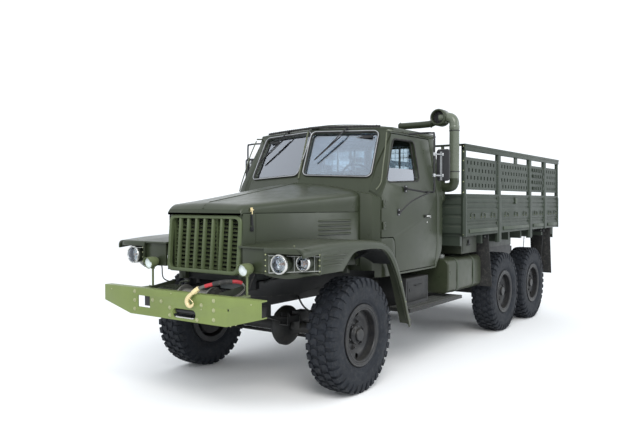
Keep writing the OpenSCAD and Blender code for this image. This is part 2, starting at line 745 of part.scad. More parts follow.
module cab_wall_shell() {
  difference() {
    cab_solid(0, cab_low);
    cab_solid(cab_wall, floor_low + floor_t);
    block([-cab_back - 1, -cab_half + cab_wall + 30, 0],
      [cab_front + 1, cab_half - cab_wall - 30, floor_low]);
    block([-cab_back + cab_wall, -cab_top_half + cab_wall, cab_top - 80],
      [-980, cab_top_half - cab_wall, cab_top + 1]);
    side_plate([[-cab_back - 1, cab_low - 1], [-cab_back + 110, cab_low - 1],
      [-cab_back - 1, cab_low + 190]],
      -1200, 1200);
  }
}

door_front = -600;
door_in = 850;        // the pillars inboard of this belong to the shell
hinge_x = door_front + 3.5;
hinge_y = 994;
hinge_pin_r = 3;
hinge_z = [1560, 1790];
hinge_h = 80;

// Pins on the front pillar that a door's barrels turn on
module door_pins() {
  for (z = hinge_z) {
    translate([hinge_x, hinge_y, z - 20]) cylinder(h = hinge_h + 40, r = hinge_pin_r);
    for (low = [z - 20, z + hinge_h + 1]) block([hinge_x, hinge_y - 3, low],
      [door_front + door_gap + 1, hinge_y + 3, low + 19]);
  }
}

// Door outline in X and Z, grown by g
door_rear = -1850;
function door_outline(g) = [[door_front + g, 1478 - g], [door_front + g, 1985], [-938 + g, 2600 + g],
  [door_rear - g, 2600 + g], [door_rear - g, cab_low + 30 - g], [-880 + g, cab_low + 30 - g],
  [-820 + g, 1440 - g], [-785 + g, 1478 - g]];

window_front_low = [-700, 2065];
window_front_high = [-965, 2540];
window_rear = [-1450, 2095, 2550];
glass_top = 2220;

module window_cut(low, high) {
  r = 45;
  translate([0, 1200, 0]) rotate([90, 0, 0]) linear_extrude(400) intersection() {
    hull() {
      for (p = [window_front_low + [-r, r], window_front_high + [-r, -r],
        [window_rear[0] + r, window_rear[2] - r], [window_rear[0] + r, window_rear[1] + r]])
        translate(p) circle(r, $fn = 24);
    }
    translate([-2000, low]) square([1500, high - low]);
  }
}

module door(side) {
  color(olive) placed() mirror([0, side < 0 ? 1 : 0, 0]) {
    difference() {
      intersection() {
        difference() {
          cab_solid(0, cab_low);
          cab_solid(cab_wall, cab_low - 1);
        }
        side_plate(door_outline(0), door_in, 1200);
      }
      window_cut(0, 3000);
    }
    block([-1640, cab_half - 1, 1675], [-1520, cab_half + 26, 1697]);
    for (z = hinge_z) difference() {
      union() {
        translate([hinge_x, hinge_y, z]) cylinder(h = hinge_h, r = 2 * hinge_pin_r);
        block([door_front - 20, hinge_y - 8, z], [door_front - 1, hinge_y - 2, z + hinge_h]);
      }
      translate([hinge_x, hinge_y, z - 1]) cylinder(h = hinge_h + 2, r = hinge_pin_r + pin_gap);
    }
  }
}

module door_left() { door(1); }
module door_right() { door(-1); }

module door_glass(side) {
  color([0.2, 0.25, 0.3]) placed() mirror([0, side < 0 ? 1 : 0, 0]) intersection() {
    difference() {
      cab_solid(cab_wall / 2 - glass_t / 2, cab_low);
      cab_solid(cab_wall / 2 + glass_t / 2, cab_low - 1);
    }
    block([-cab_back, door_in + clear, 0], [0, cab_half, cab_top]);
    window_cut(0, glass_top);
  }
}

module door_glass_left() { door_glass(1); }
module door_glass_right() { door_glass(-1); }

// Cuts in the windscreen's planes, or the glass that fills them
module screen_panes(depth, out) {
  for (side = [-1, 1]) translate([screen_foot[0], 0, screen_foot[1]])
    rotate([0, 0, side * screen_sweep]) rotate([0, -screen_rake, 0])
      translate([-out - depth, 0, 0]) rotate([90, 0, 90]) linear_extrude(depth) hull() {
        for (p = [[105, 150], [112, 590], [805, 570], [795, 122]])
          translate([side * p[0], p[1]]) circle(50, $fn = 24);
      }
}

rear_window = [30, 700, 2260, 2545];

module rear_panes(x0, x1) {
  both_sides() block([x0, rear_window[0], rear_window[2]], [x1, rear_window[1], rear_window[3]]);
}

module cab_shell() {
  color(olive) placed() difference() {
    cab_wall_shell();
    both_sides() side_plate(door_outline(door_gap), door_in, 1200);
    screen_panes(400, -100);
    rear_panes(-cab_back - 10, -cab_back + cab_wall + 10);
  }
  color(olive) placed() both_sides() door_pins();
}

module cab_glass() {
  color([0.55, 0.65, 0.75]) placed() {
    screen_panes(glass_t, 25);
    rear_panes(-cab_back + 25, -cab_back + 25 + glass_t);
  }
}

roof_edge = 32;       // height of the roof's outer edge

module cab_roof() {
  edge = cab_top_half + roof_lip;
  front = -790;
  // Place along X, half width and share of the full rise at each station
  stations = [[-cab_back - roof_lip, edge, 0.5], [50 - cab_back, edge, 1], [-1500, edge, 1],
    [-1050, edge, 1], [-960, edge, 0.72], [front, 26, 0.25]];
  rings = [for (s = stations) concat([[s[0], -s[1], cab_top]],
    [for (t = [-1:0.25:1]) [s[0], s[1] * t * 0.985, cab_top + roof_edge + roof_rise * s[2] * (1 - t * t)]],
    [[s[0], s[1], cab_top]])];
  color(olive) placed() difference() {
    loft(rings);
    block([-cab_back + cab_wall + 20, -cab_top_half + cab_wall + 20, cab_top - 1],
      [-1000, cab_top_half - cab_wall - 20, cab_top + 12]);
  }
}

module dashboard() {
  y = 840;
  color(dark) placed() {
    difference() {
      side_plate([[-700, 1740], [-700, 1930], [-800, 1975], [-885, 1950], [-850, 1740]], -y, y);
      translate(wheel_centre) rotate([0, -wheel_tilt, 0]) translate([0, 0, -column_len - 20])
        cylinder(h = column_len, r = column_r + pin_gap);
    }
    both_sides() block([-760, 780, floor_low + floor_t], [-720, 820, 1741]);
  }
}

module seats() {
  floor_z = floor_low + floor_t;
  color(dark) placed() for (y = [wheel_centre[1], -400]) {
    half = y > 0 ? 270 : 400;
    block([-1700, y - half + 30, floor_z], [-1240, y + half - 30, floor_z + 300]);
    block([-1760, y - half, floor_z + 300], [-1260, y + half, floor_z + 440]);
    side_plate([[-1780, floor_z + 420], [-1660, floor_z + 420],
      [-1760, floor_z + 960], [-1860, floor_z + 960]],
      y - half, y + half);
  }
}

wheel_centre = [-1030, 470, 2110];
wheel_tilt = 50;
column_r = 18;
column_len = 230;
steer_wheel_r = 230;

module steering_wheel() {
  color(dark) placed() translate(wheel_centre) rotate([0, -wheel_tilt, 0]) {
    rotate_extrude() translate([steer_wheel_r, 0]) circle(14);
    for (a = [90, 210, 330]) rotate(a) translate([0, -11, -6]) cube([steer_wheel_r, 22, 12]);
    translate([0, 0, -30]) cylinder(h = 44, r = 42);
    translate([0, 0, -column_len]) cylinder(h = column_len - 20, r = column_r);
  }
}

// ---------------------------------------------------------------- mirrors

mirror_at = [-1260, 1395, 2255];

module mirror_arm(side) {
  r = 11;
  high = [-1150, 1340, 2600];
  low = [-1150, 1340, 1955];
  color(dark) placed() mirror([0, side < 0 ? 1 : 0, 0]) {
    rod([-1120, 925, 2575], [-1120, 1260, 2600], r);
    rod([-1120, 1255, 2600], high, r);
    rod(low, high, r);
    rod([-1060, cab_half - 40, 1990], low, r);
    for (p = [[-940, 1985], [-1180, 1985]]) rod([p[0], cab_half - 40, p[1]], [-1060, 1140, 1905], 8);
    rod([-1060, 1140, 1905], low, r);
    for (p = [low, high, [-1120, 1257, 2600], [-1060, 1140, 1905]]) translate(p) sphere(r + 3);
    block([mirror_at[0] - 30, mirror_at[1] - 78, mirror_at[2] - 175],
      [mirror_at[0] + 20, mirror_at[1] + 78, mirror_at[2] + 175]);
    for (z = [-110, 110]) rod([mirror_at[0], mirror_at[1] - 40, mirror_at[2] + z],
      [-1150, 1340, mirror_at[2] + z], r);
  }
}

module mirror_left() { mirror_arm(1); }
module mirror_right() { mirror_arm(-1); }

// ---------------------------------------------------------------- behind the cab

intake_x = -2125;
intake_y = 1140;
intake_r = 60;

module air_intake() {
  bend = 95;
  top = 2795;
  head = [intake_x, 955, 2890];
  color([0.36, 0.4, 0.3]) placed() {
    rod([intake_x, intake_y, 2140], [intake_x, intake_y, top], intake_r);
    translate([intake_x, intake_y - bend, top]) rotate([90, 0, 90])
      rotate_extrude(angle = 90) translate([bend, 0]) circle(intake_r);
    rod([intake_x, intake_y - bend + 1, top + bend], [intake_x, head[1], top + bend], intake_r);
    rod(head - [90, 0, 0], head + [100, 0, 0], 105);
    rod([intake_x, 380, 2810], [intake_x, head[1], 2830], 42);
    rod([intake_x, 380, 1500], [intake_x, 380, 2815], 42);
    rod([intake_x, intake_y, 2180], [intake_x, 900, 2180], intake_r - 5);
    rod([intake_x, 900, 1850], [intake_x, 900, 2260], 110);
    block([intake_x - 60, 340, 1560], [intake_x + 60, 1000, 1600]);
    block([intake_x - 60, 340, 1420], [intake_x + 60, 420, 1561]);
    rod([intake_x, 900, 1600], [intake_x, 900, 1860], 50);
    block([intake_x - 60, 350, rail_top], [intake_x + 60, frame_half, 1421]);
  }
}

module exhaust() {
  color([0.25, 0.24, 0.22]) placed() mirror([0, 1, 0]) {
    rod([-2950, 720, 930], [-2150, 720, 930], 130);
    rod([-2150, 720, 930], [-1980, 600, 900], 40);
    rod([-1980, 600, 900], [-630, 485, 960], 40);
    rod([-2950, 720, 930], [-3050, 760, 900], 40);
    rod([-3050, 760, 900], [-3050, 1120, 860], 40);
    for (p = [[-2150, 720, 930], [-1980, 600, 900], [-2950, 720, 930], [-3050, 760, 900]])
      translate(p) sphere(43);
    for (x = [-2300, -2800]) block([x - 20, frame_half, 900], [x + 20, 640, 950]);
  }
}

module fuel_tank() {
  x0 = -3100;
  x1 = -2060;
  color(olive) placed() {
    translate([x0, 0, 0]) rotate([90, 0, 90]) linear_extrude(x1 - x0) hull() {
      for (p = [[690, 810], [690, 1060], [1010, 810], [1010, 1060]]) translate(p) circle(90, $fn = 24);
    }
    for (x = [x0 + 200, x1 - 260]) {
      block([x, frame_half, 880], [x + 60, 605, 960]);
    }
  }
}

module side_steps() {
  color(dark) placed() {
    both_sides() {
      block([-2400, 850, 640], [-1000, 1130, 680]);
      for (x = [-1100, -1750, -2150]) {
        block([x - 25, frame_half, rail_low + 20], [x + 25, frame_half + 30, rail_low + 120]);
        block([x - 25, frame_half + 5, 680], [x + 25, frame_half + 30, rail_low + 30]);
        block([x - 25, frame_half + 5, 650], [x + 25, 860, 680]);
      }
      block([-1700, 640, 680], [-1150, 1000, 990]);
    }
  }
}

module tool_box() {
  color(olive) placed() block([-2940, 700, 1190], [-2440, 1100, bed_under]);
}

// ---------------------------------------------------------------- cargo bed

floor_plate = 40;
bed_under = bed_floor_z - floor_plate;
bearer_h = 120;
headboard_pitch = 460;
second_bearer = -3000;   // behind the tool box
side_in = bed_half - post_d;
bed_len = bed_rear - bed_front;
// Middle of each post, as a share of the bed's length
post_share = [0, 0.30, 0.63, 0.815, 1];
post_w = 120;
end_post_w = 60;
function post_x(i) = -bed_front - post_share[i] * bed_len;
function post_low(i) = post_x(i) - (i == 0 || i == 4 ? (i == 0 ? end_post_w : 0) : post_w / 2);
function post_high(i) = post_x(i) + (i == 0 || i == 4 ? (i == 4 ? end_post_w : 0) : post_w / 2);

module bed_floor() {
  color(olive) placed() {
    block([-bed_rear, -side_in + 1, bed_under], [-bed_front - board_t, side_in - 1, bed_floor_z]);
    for (x = concat([-bed_front - 60],
      [for (i = [0:6]) second_bearer - i * (bed_rear - 120 + second_bearer) / 6]))
      block([x - 60, -side_in + 40, bed_under - bearer_h], [x, side_in - 40, bed_under]);
    both_sides() block([-bed_rear + 100, rail_in, rail_top], [-bed_front, frame_half, bed_under]);
    block([-bed_rear, -side_in + 40, 1240], [-bed_rear + 20, side_in - 40, bed_under]);
    tailgate_pins();
  }
}

module bed_side(side) {
  color(olive) placed() mirror([0, side < 0 ? 1 : 0, 0]) {
    for (i = [0:4]) block([post_low(i), side_in, (i == 1 || i == 2) ? 1300 : bed_under],
      [post_high(i), bed_half, bed_top]);
    block([-bed_rear, side_in, top_rail_low], [-bed_front, bed_half, bed_top]);
    block([-bed_rear, side_in + 6, bed_under], [-bed_front, side_in + 6 + board_t, board_top]);
    block([-bed_rear, side_in + 16, pierced_low], [-bed_front, side_in + 36, pierced_high]);
  }
}

module bed_side_left() { bed_side(1); }
module bed_side_right() { bed_side(-1); }

module headboard() {
  color(olive) placed() {
    block([-bed_front - board_t, -side_in, bed_under], [-bed_front, side_in, board_top]);
    block([-bed_front - board_t, -side_in, bed_top - 26], [-bed_front, side_in, bed_top]);
    for (i = [-2:2]) block([-bed_front - board_t, i * headboard_pitch - 16, board_top - 1],
      [-bed_front, i * headboard_pitch + 16, bed_top - 25]);
  }
}

tailgate_axis = [-bed_rear - 26, bed_under - 10];
tailgate_hinges = [-700, 0, 700];
tailgate_pin_r = 6;
tailgate_barrel = 40;     // half length of a barrel

// Pins on the bed's rear face that the tailgate's barrels turn on
module tailgate_pins() {
  for (y = tailgate_hinges) {
    rod([tailgate_axis[0], y - tailgate_barrel - 30, tailgate_axis[1]],
      [tailgate_axis[0], y + tailgate_barrel + 30, tailgate_axis[1]], tailgate_pin_r);
    for (low = [y - tailgate_barrel - 30, y + tailgate_barrel + 5])
      block([tailgate_axis[0] - 10, low, tailgate_axis[1] - 10],
        [-bed_rear, low + 25, tailgate_axis[1] + 10]);
  }
}

module tailgate() {
  gap = clear + 1;
  color(olive) placed() {
    block([-bed_rear - 42, -side_in + gap, bed_under + gap], [-bed_rear - clear, side_in - gap, board_top]);
    for (y = tailgate_hinges) {
      block([-bed_rear - 58, y - tailgate_barrel, bed_under + gap + 10],
        [-bed_rear - 40, y + tailgate_barrel, board_top]);
      difference() {
        union() {
          rod([tailgate_axis[0], y - tailgate_barrel, tailgate_axis[1]],
            [tailgate_axis[0], y + tailgate_barrel, tailgate_axis[1]], 14);
          block([tailgate_axis[0] - 14, y - tailgate_barrel, tailgate_axis[1]],
            [tailgate_axis[0] + 6, y + tailgate_barrel, bed_under + gap + 1]);
        }
        rod([tailgate_axis[0], y - tailgate_barrel - 1, tailgate_axis[1]],
          [tailgate_axis[0], y + tailgate_barrel + 1, tailgate_axis[1]], tailgate_pin_r + pin_gap);
      }
    }
  }
}

module mudguards() {
  t = 14;
  color(dark) placed() both_sides() {
    side_plate([[-3120, bed_under], [-3265, 700], [-3265 + t, 700], [-3120 + t, bed_under]], 860, 1195);
    side_plate([[rear_x - 700, bed_under], [rear_x - 800, 650], [rear_x - 800 - t, 650],
      [rear_x - 700 - t, bed_under]], 860, 1195);
  }
}

hitch_z = 980;

module tow_hitch() {
  color(dark) placed() {
    block([-bed_rear + 50, -rail_in, hitch_z - 90], [-bed_rear + 120, rail_in, hitch_z + 90]);
    block([-bed_rear + 50, -frame_half, hitch_z - 90], [-bed_rear + 119, frame_half, hitch_z + 90]);
    difference() {
      union() {
        rod([-bed_rear - 20, 0, hitch_z], [-bed_rear + 51, 0, hitch_z], 60);
        block([-bed_rear - hitch_reach, -35, hitch_z - 70], [-bed_rear - 19, 35, hitch_z + 70]);
      }
      translate([-bed_rear - 62, 0, hitch_z - 100]) cylinder(h = 200, r = 24);
    }
  }
}

// ---------------------------------------------------------------- wheels as placed

module tyre_front_left() { tyre(0, 1); }
module tyre_front_right() { tyre(0, -1); }
module tyre_mid_left() { tyre(mid_x, 1); }
module tyre_mid_right() { tyre(mid_x, -1); }
module tyre_rear_left() { tyre(rear_x, 1); }
module tyre_rear_right() { tyre(rear_x, -1); }
module wheel_front_left() { wheel(0, 1); }
module wheel_front_right() { wheel(0, -1); }
module wheel_mid_left() { wheel(mid_x, 1); }
module wheel_mid_right() { wheel(mid_x, -1); }
module wheel_rear_left() { wheel(rear_x, 1); }
module wheel_rear_right() { wheel(rear_x, -1); }

frame_rails();
front_bumper();
winch();
front_axle();
rear_axles();
leaf_springs();
drive_shafts();
engine();
gearbox();
radiator();
grille();
engine_sides();
fender_left();
fender_right();
lamps();
cab_shell();
cab_roof();
cab_glass();
dashboard();
seats();
air_intake();
exhaust();
fuel_tank();
side_steps();
tool_box();
bed_floor();
headboard();
bed_side_left();
bed_side_right();
mudguards();
tow_hitch();
knuckle_left();
knuckle_right();
track_rod();
tyre_front_left();
tyre_front_right();
tyre_mid_left();
tyre_mid_right();
tyre_rear_left();
tyre_rear_right();
wheel_front_left();
wheel_front_right();
wheel_mid_left();
wheel_mid_right();
wheel_rear_left();
wheel_rear_right();
door_left();
door_right();
door_glass_left();
door_glass_right();
mirror_left();
mirror_right();
bonnet();
tailgate();
steering_wheel();
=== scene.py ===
import json
import math
import random

import bmesh
import bpy
from mathutils import Matrix, Vector, noise

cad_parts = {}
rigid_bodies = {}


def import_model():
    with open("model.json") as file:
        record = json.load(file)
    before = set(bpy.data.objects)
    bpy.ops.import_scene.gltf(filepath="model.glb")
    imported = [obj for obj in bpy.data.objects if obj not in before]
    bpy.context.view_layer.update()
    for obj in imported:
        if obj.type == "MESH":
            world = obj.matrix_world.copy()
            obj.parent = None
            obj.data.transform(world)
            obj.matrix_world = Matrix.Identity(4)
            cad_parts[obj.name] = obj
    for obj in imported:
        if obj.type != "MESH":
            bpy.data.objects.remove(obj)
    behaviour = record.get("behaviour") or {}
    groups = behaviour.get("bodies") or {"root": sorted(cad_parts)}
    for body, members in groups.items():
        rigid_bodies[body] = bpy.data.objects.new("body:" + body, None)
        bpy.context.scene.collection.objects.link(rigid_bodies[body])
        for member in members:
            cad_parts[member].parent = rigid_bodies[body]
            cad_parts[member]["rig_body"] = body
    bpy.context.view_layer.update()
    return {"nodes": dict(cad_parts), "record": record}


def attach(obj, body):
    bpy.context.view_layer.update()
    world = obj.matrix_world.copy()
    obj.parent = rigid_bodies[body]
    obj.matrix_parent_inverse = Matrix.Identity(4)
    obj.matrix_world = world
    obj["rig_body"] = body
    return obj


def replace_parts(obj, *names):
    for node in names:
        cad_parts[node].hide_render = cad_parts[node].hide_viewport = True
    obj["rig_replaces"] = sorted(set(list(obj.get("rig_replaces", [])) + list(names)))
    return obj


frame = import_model()

# Every piece below is measured from the front axle, in metres; the axle stands
# this far ahead of the middle of the truck.
AXLE_X = 2.4775
random.seed(7)
made = {}


# ---------------------------------------------------------------- shapes

class Shape:
    """Vertices and faces of one piece."""

    def __init__(self):
        self.v = []
        self.f = []

    def add(self, verts, faces):
        n = len(self.v)
        self.v += [tuple(p) for p in verts]
        self.f += [tuple(i + n for i in f) for f in faces]
        return self

    def box(self, lo, hi):
        lo, hi = [min(a, b) for a, b in zip(lo, hi)], [max(a, b) for a, b in zip(lo, hi)]
        pts = [(x, y, z) for x in (lo[0], hi[0]) for y in (lo[1], hi[1]) for z in (lo[2], hi[2])]
        return self.add(pts, [(0, 1, 3, 2), (4, 6, 7, 5), (0, 4, 5, 1), (2, 3, 7, 6),
                              (0, 2, 6, 4), (1, 5, 7, 3)])

    def block(self, centre, size, turn=None):
        """A box of that size about centre, turned by a matrix."""
        turn = turn or Matrix.Identity(3)
        c = Vector(centre)
        pts = [c + turn @ Vector((sx * size[0] / 2, sy * size[1] / 2, sz * size[2] / 2))
               for sx in (-1, 1) for sy in (-1, 1) for sz in (-1, 1)]
        return self.add(pts, [(0, 1, 3, 2), (4, 6, 7, 5), (0, 4, 5, 1), (2, 3, 7, 6),
                              (0, 2, 6, 4), (1, 5, 7, 3)])

    def loft(self, rings, closed=True, cap=True):
        """A skin over rings of points, all with the same number of them."""
        n = len(rings[0])
        pts = [p for ring in rings for p in ring]
        faces = []
        for j in range(len(rings) - 1):
            for i in range(n if closed else n - 1):
                a, b = j * n + i, j * n + (i + 1) % n
                faces.append((a, b, b + n, a + n))
        if cap:
            faces.append(tuple(range(n - 1, -1, -1)))
            faces.append(tuple((len(rings) - 1) * n + i for i in range(n)))
        return self.add(pts, faces)

    def rod(self, a, b, r, n=20, r2=None, chamfer=0.0):
        a, b = Vector(a), Vector(b)
        r2 = r if r2 is None else r2
        d = (b - a).normalized()
        u = d.orthogonal().normalized()
        w = d.cross(u)
        stops = [(a, r), (b, r2)]
        if chamfer:
            stops = [(a, r - chamfer), (a + d * chamfer, r), (b - d * chamfer, r2), (b, r2 - chamfer)]
        rings = [[p + (u * math.cos(t) + w * math.sin(t)) * q
                  for t in (2 * math.pi * i / n for i in range(n))] for p, q in stops]
        return self.loft(rings)

    def tube(self, pts, r, n=10, closed=False):
        """A round bar along a line of points."""
        pts = [Vector(p) for p in pts]
        count = len(pts)
        rings = []
        side = None
        for i, p in enumerate(pts):
            if closed:
                d = (pts[(i + 1) % count] - pts[i - 1]).normalized()
            else:
                d = (pts[min(i + 1, count - 1)] - pts[max(i - 1, 0)]).normalized()
            if side is None:
                side = d.orthogonal().normalized()
            side = (side - d * side.dot(d)).normalized()
            w = d.cross(side)
            q = r[i] if isinstance(r, (list, tuple)) else r
            rings.append([p + (side * math.cos(t) + w * math.sin(t)) * q
                          for t in (2 * math.pi * k / n for k in range(n))])
        if closed:
            rings.append(rings[0])
            start = len(self.v)
            self.loft(rings[:-1], cap=False)
            m = count - 1
            for k in range(n):
                a, b = start + m * n + k, start + m * n + (k + 1) % n
                self.f.append((a, b, start + (k + 1) % n, start + k))
            return self
        return self.loft(rings)

    def lathe(self, profile, centre, axis, n=48):
        """A closed profile of (radius, along) turned round an axis through centre."""
        c, d = Vector(centre), Vector(axis).normalized()
        u = d.orthogonal().normalized()
        w = d.cross(u)
        start = len(self.v)
        m = len(profile)
        for i in range(n):
            t = 2 * math.pi * i / n
            out = u * math.cos(t) + w * math.sin(t)
            self.v += [tuple(c + out * r + d * z) for r, z in profile]
        for i in range(n):
            for k in range(m):
                a, b = start + i * m + k, start + i * m + (k + 1) % m
                c2, d2 = start + ((i + 1) % n) * m + (k + 1) % m, start + ((i + 1) % n) * m + k
                self.f.append((a, b, c2, d2))
        return self

    def prism(self, outline, low, high, plane="xz"):
        """An outline as thick as from low to high along the third axis."""
        def at(p, t):
            return {"xz": (p[0], t, p[1]), "yz": (t, p[0], p[1]), "xy": (p[0], p[1], t)}[plane]
        area = sum(a[0] * b[1] - b[0] * a[1] for a, b in zip(outline, outline[1:] + outline[:1]))
        pts = list(outline) if (area > 0) != (plane == "xz") else list(reversed(outline))
        return self.loft([[at(p, low) for p in pts], [at(p, high) for p in pts]])

    def bolt(self, at, axis, r=0.012, h=0.009, washer=True):
        """A hexagon head on a washer."""
        at, axis = Vector(at), Vector(axis).normalized()
        if washer:
            self.rod(at - axis * 0.002, at + axis * 0.003, r * 1.45, 16)
        self.rod(at, at + axis * h, r, 6, chamfer=r * 0.12)
        return self.rod(at + axis * h * 0.9, at + axis * h * 1.5, r * 0.5, 10, chamfer=r * 0.1)

    def rivet(self, at, axis, r=0.006):
        at, axis = Vector(at), Vector(axis).normalized()
        self.rod(at - axis * 0.001, at + axis * r * 0.35, r, 10)
        return self.rod(at + axis * r * 0.34, at + axis * r * 0.7, r * 0.9, 10, r2=r * 0.45)

    def mirrored(self):
        """Adds the same shape on the other side."""
        n = len(self.v)
        self.v += [(x, -y, z) for x, y, z in self.v]
        self.f += [tuple(reversed([i + n for i in f])) for f in self.f]
        return self


def other_side(shape):
    flipped = Shape()
    return flipped.add([(x, -y, z) for x, y, z in shape.v], [tuple(reversed(f)) for f in shape.f])


def curve(a, b, c, d, n):
    """Points on a curve that leaves a towards b and arrives at d from c."""
    out = []
    for i in range(n + 1):
        t = i / n
        u = 1 - t
        out.append(tuple(u**3 * p + 3 * u * u * t * q + 3 * u * t * t * r + t**3 * s
                         for p, q, r, s in zip(a, b, c, d)))
    return out


def smooth_line(points, per=8):
    """A soft line through the points."""
    pts = [Vector(p) for p in points]
    out = []
    for i in range(len(pts) - 1):
        p0 = pts[max(i - 1, 0)]
        p1, p2 = pts[i], pts[i + 1]
        p3 = pts[min(i + 2, len(pts) - 1)]
        for k in range(per):
            t = k / per
            out.append(0.5 * ((2 * p1) + (p2 - p0) * t + (2 * p0 - 5 * p1 + 4 * p2 - p3) * t * t
                              + (3 * p1 - p0 - 3 * p2 + p3) * t**3))
    out.append(pts[-1])
    return out


def rounded_rect(w, h, r, n=5):
    """Points round a rectangle with rounded corners, about its middle."""
    out = []
    for cx, cy, a0 in ((w / 2 - r, h / 2 - r, 0), (-w / 2 + r, h / 2 - r, 90),
                       (-w / 2 + r, -h / 2 + r, 180), (w / 2 - r, -h / 2 + r, 270)):
        for i in range(n + 1):
            a = math.radians(a0 + 90 * i / n)
            out.append((cx + r * math.cos(a), cy + r * math.sin(a)))
    return out


# ---------------------------------------------------------------- pieces

def finish_mesh(mesh, sharp=32):
    for p in mesh.polygons:
        p.use_smooth = True
    mesh.set_sharp_from_angle(angle=math.radians(sharp))


def with_modifiers(obj):
    """The object's mesh with its modifiers in it."""
    graph = bpy.context.evaluated_depsgraph_get()
    mesh = bpy.data.meshes.new_from_object(obj.evaluated_get(graph))
    obj.modifiers.clear()
    obj.data = mesh
    return mesh


def cut(obj, cutters, mode="DIFFERENCE"):
    """Takes the cutters' shapes out of obj."""
    for shape in cutters:
        tool = raw_object("cutter", shape)
        m = obj.modifiers.new("cut", "BOOLEAN")
        m.operation = mode
        m.solver = "EXACT"
        m.object = tool
        bpy.context.view_layer.update()
        with_modifiers(obj)
        bpy.data.objects.remove(tool)
    return obj


def raw_object(name, shape, shifted=True):
    mesh = bpy.data.meshes.new(name)
    mesh.from_pydata([(x + (AXLE_X if shifted else 0), y, z) for x, y, z in shape.v], [], shape.f)
    b = bmesh.new()
    b.from_mesh(mesh)
    bmesh.ops.recalc_face_normals(b, faces=b.faces)
    b.to_mesh(mesh)
    b.free()
    obj = bpy.data.objects.new(name, mesh)
    bpy.context.scene.collection.objects.link(obj)
    return obj


def soften(obj, width, segments=2, angle=28, harden=True):
    m = obj.modifiers.new("bevel", "BEVEL")
    m.width = width
    m.segments = segments
    m.limit_method = "ANGLE"
    m.angle_limit = math.radians(angle)
    m.use_clamp_overlap = True
    m.harden_normals = False
    bpy.context.view_layer.update()
    with_modifiers(obj)


def settle(obj, body, look, replaces=(), sharp=32):
    finish_mesh(obj.data, sharp)
    obj.data.materials.clear()
    obj.data.materials.append(look)
    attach(obj, body)
    if replaces:
        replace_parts(obj, *replaces)
    made[obj.name] = obj
    return obj


def piece(name, shape, body, look, replaces=(), bevel=0.0, segments=2, cutters=(),
          sharp=32, angle=28):
    obj = raw_object(name, shape)
    if cutters:
        cut(obj, cutters)
    if bevel:
        soften(obj, bevel, segments, angle)
    return settle(obj, body, look, replaces, sharp)


def from_node(name, node, look, bevel=0.004, segments=2, sharp=32, angle=28, cutters=()):
    """The CAD node's own shape with softened edges, standing for it."""
    source = frame["nodes"][node]
    obj = bpy.data.objects.new(name, source.data.copy())
    bpy.context.scene.collection.objects.link(obj)
    b = bmesh.new()
    b.from_mesh(obj.data)
    bmesh.ops.remove_doubles(b, verts=b.verts, dist=0.00005)
    bmesh.ops.dissolve_limit(b, angle_limit=math.radians(0.6), verts=b.verts, edges=b.edges)
    b.to_mesh(obj.data)
    b.free()
    if cutters:
        cut(obj, cutters)
    if bevel:
        soften(obj, bevel, segments, angle)
    for attribute in list(obj.data.color_attributes):
        obj.data.color_attributes.remove(attribute)
    return settle(obj, source["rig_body"], look, (node,), sharp)


# ---------------------------------------------------------------- looks

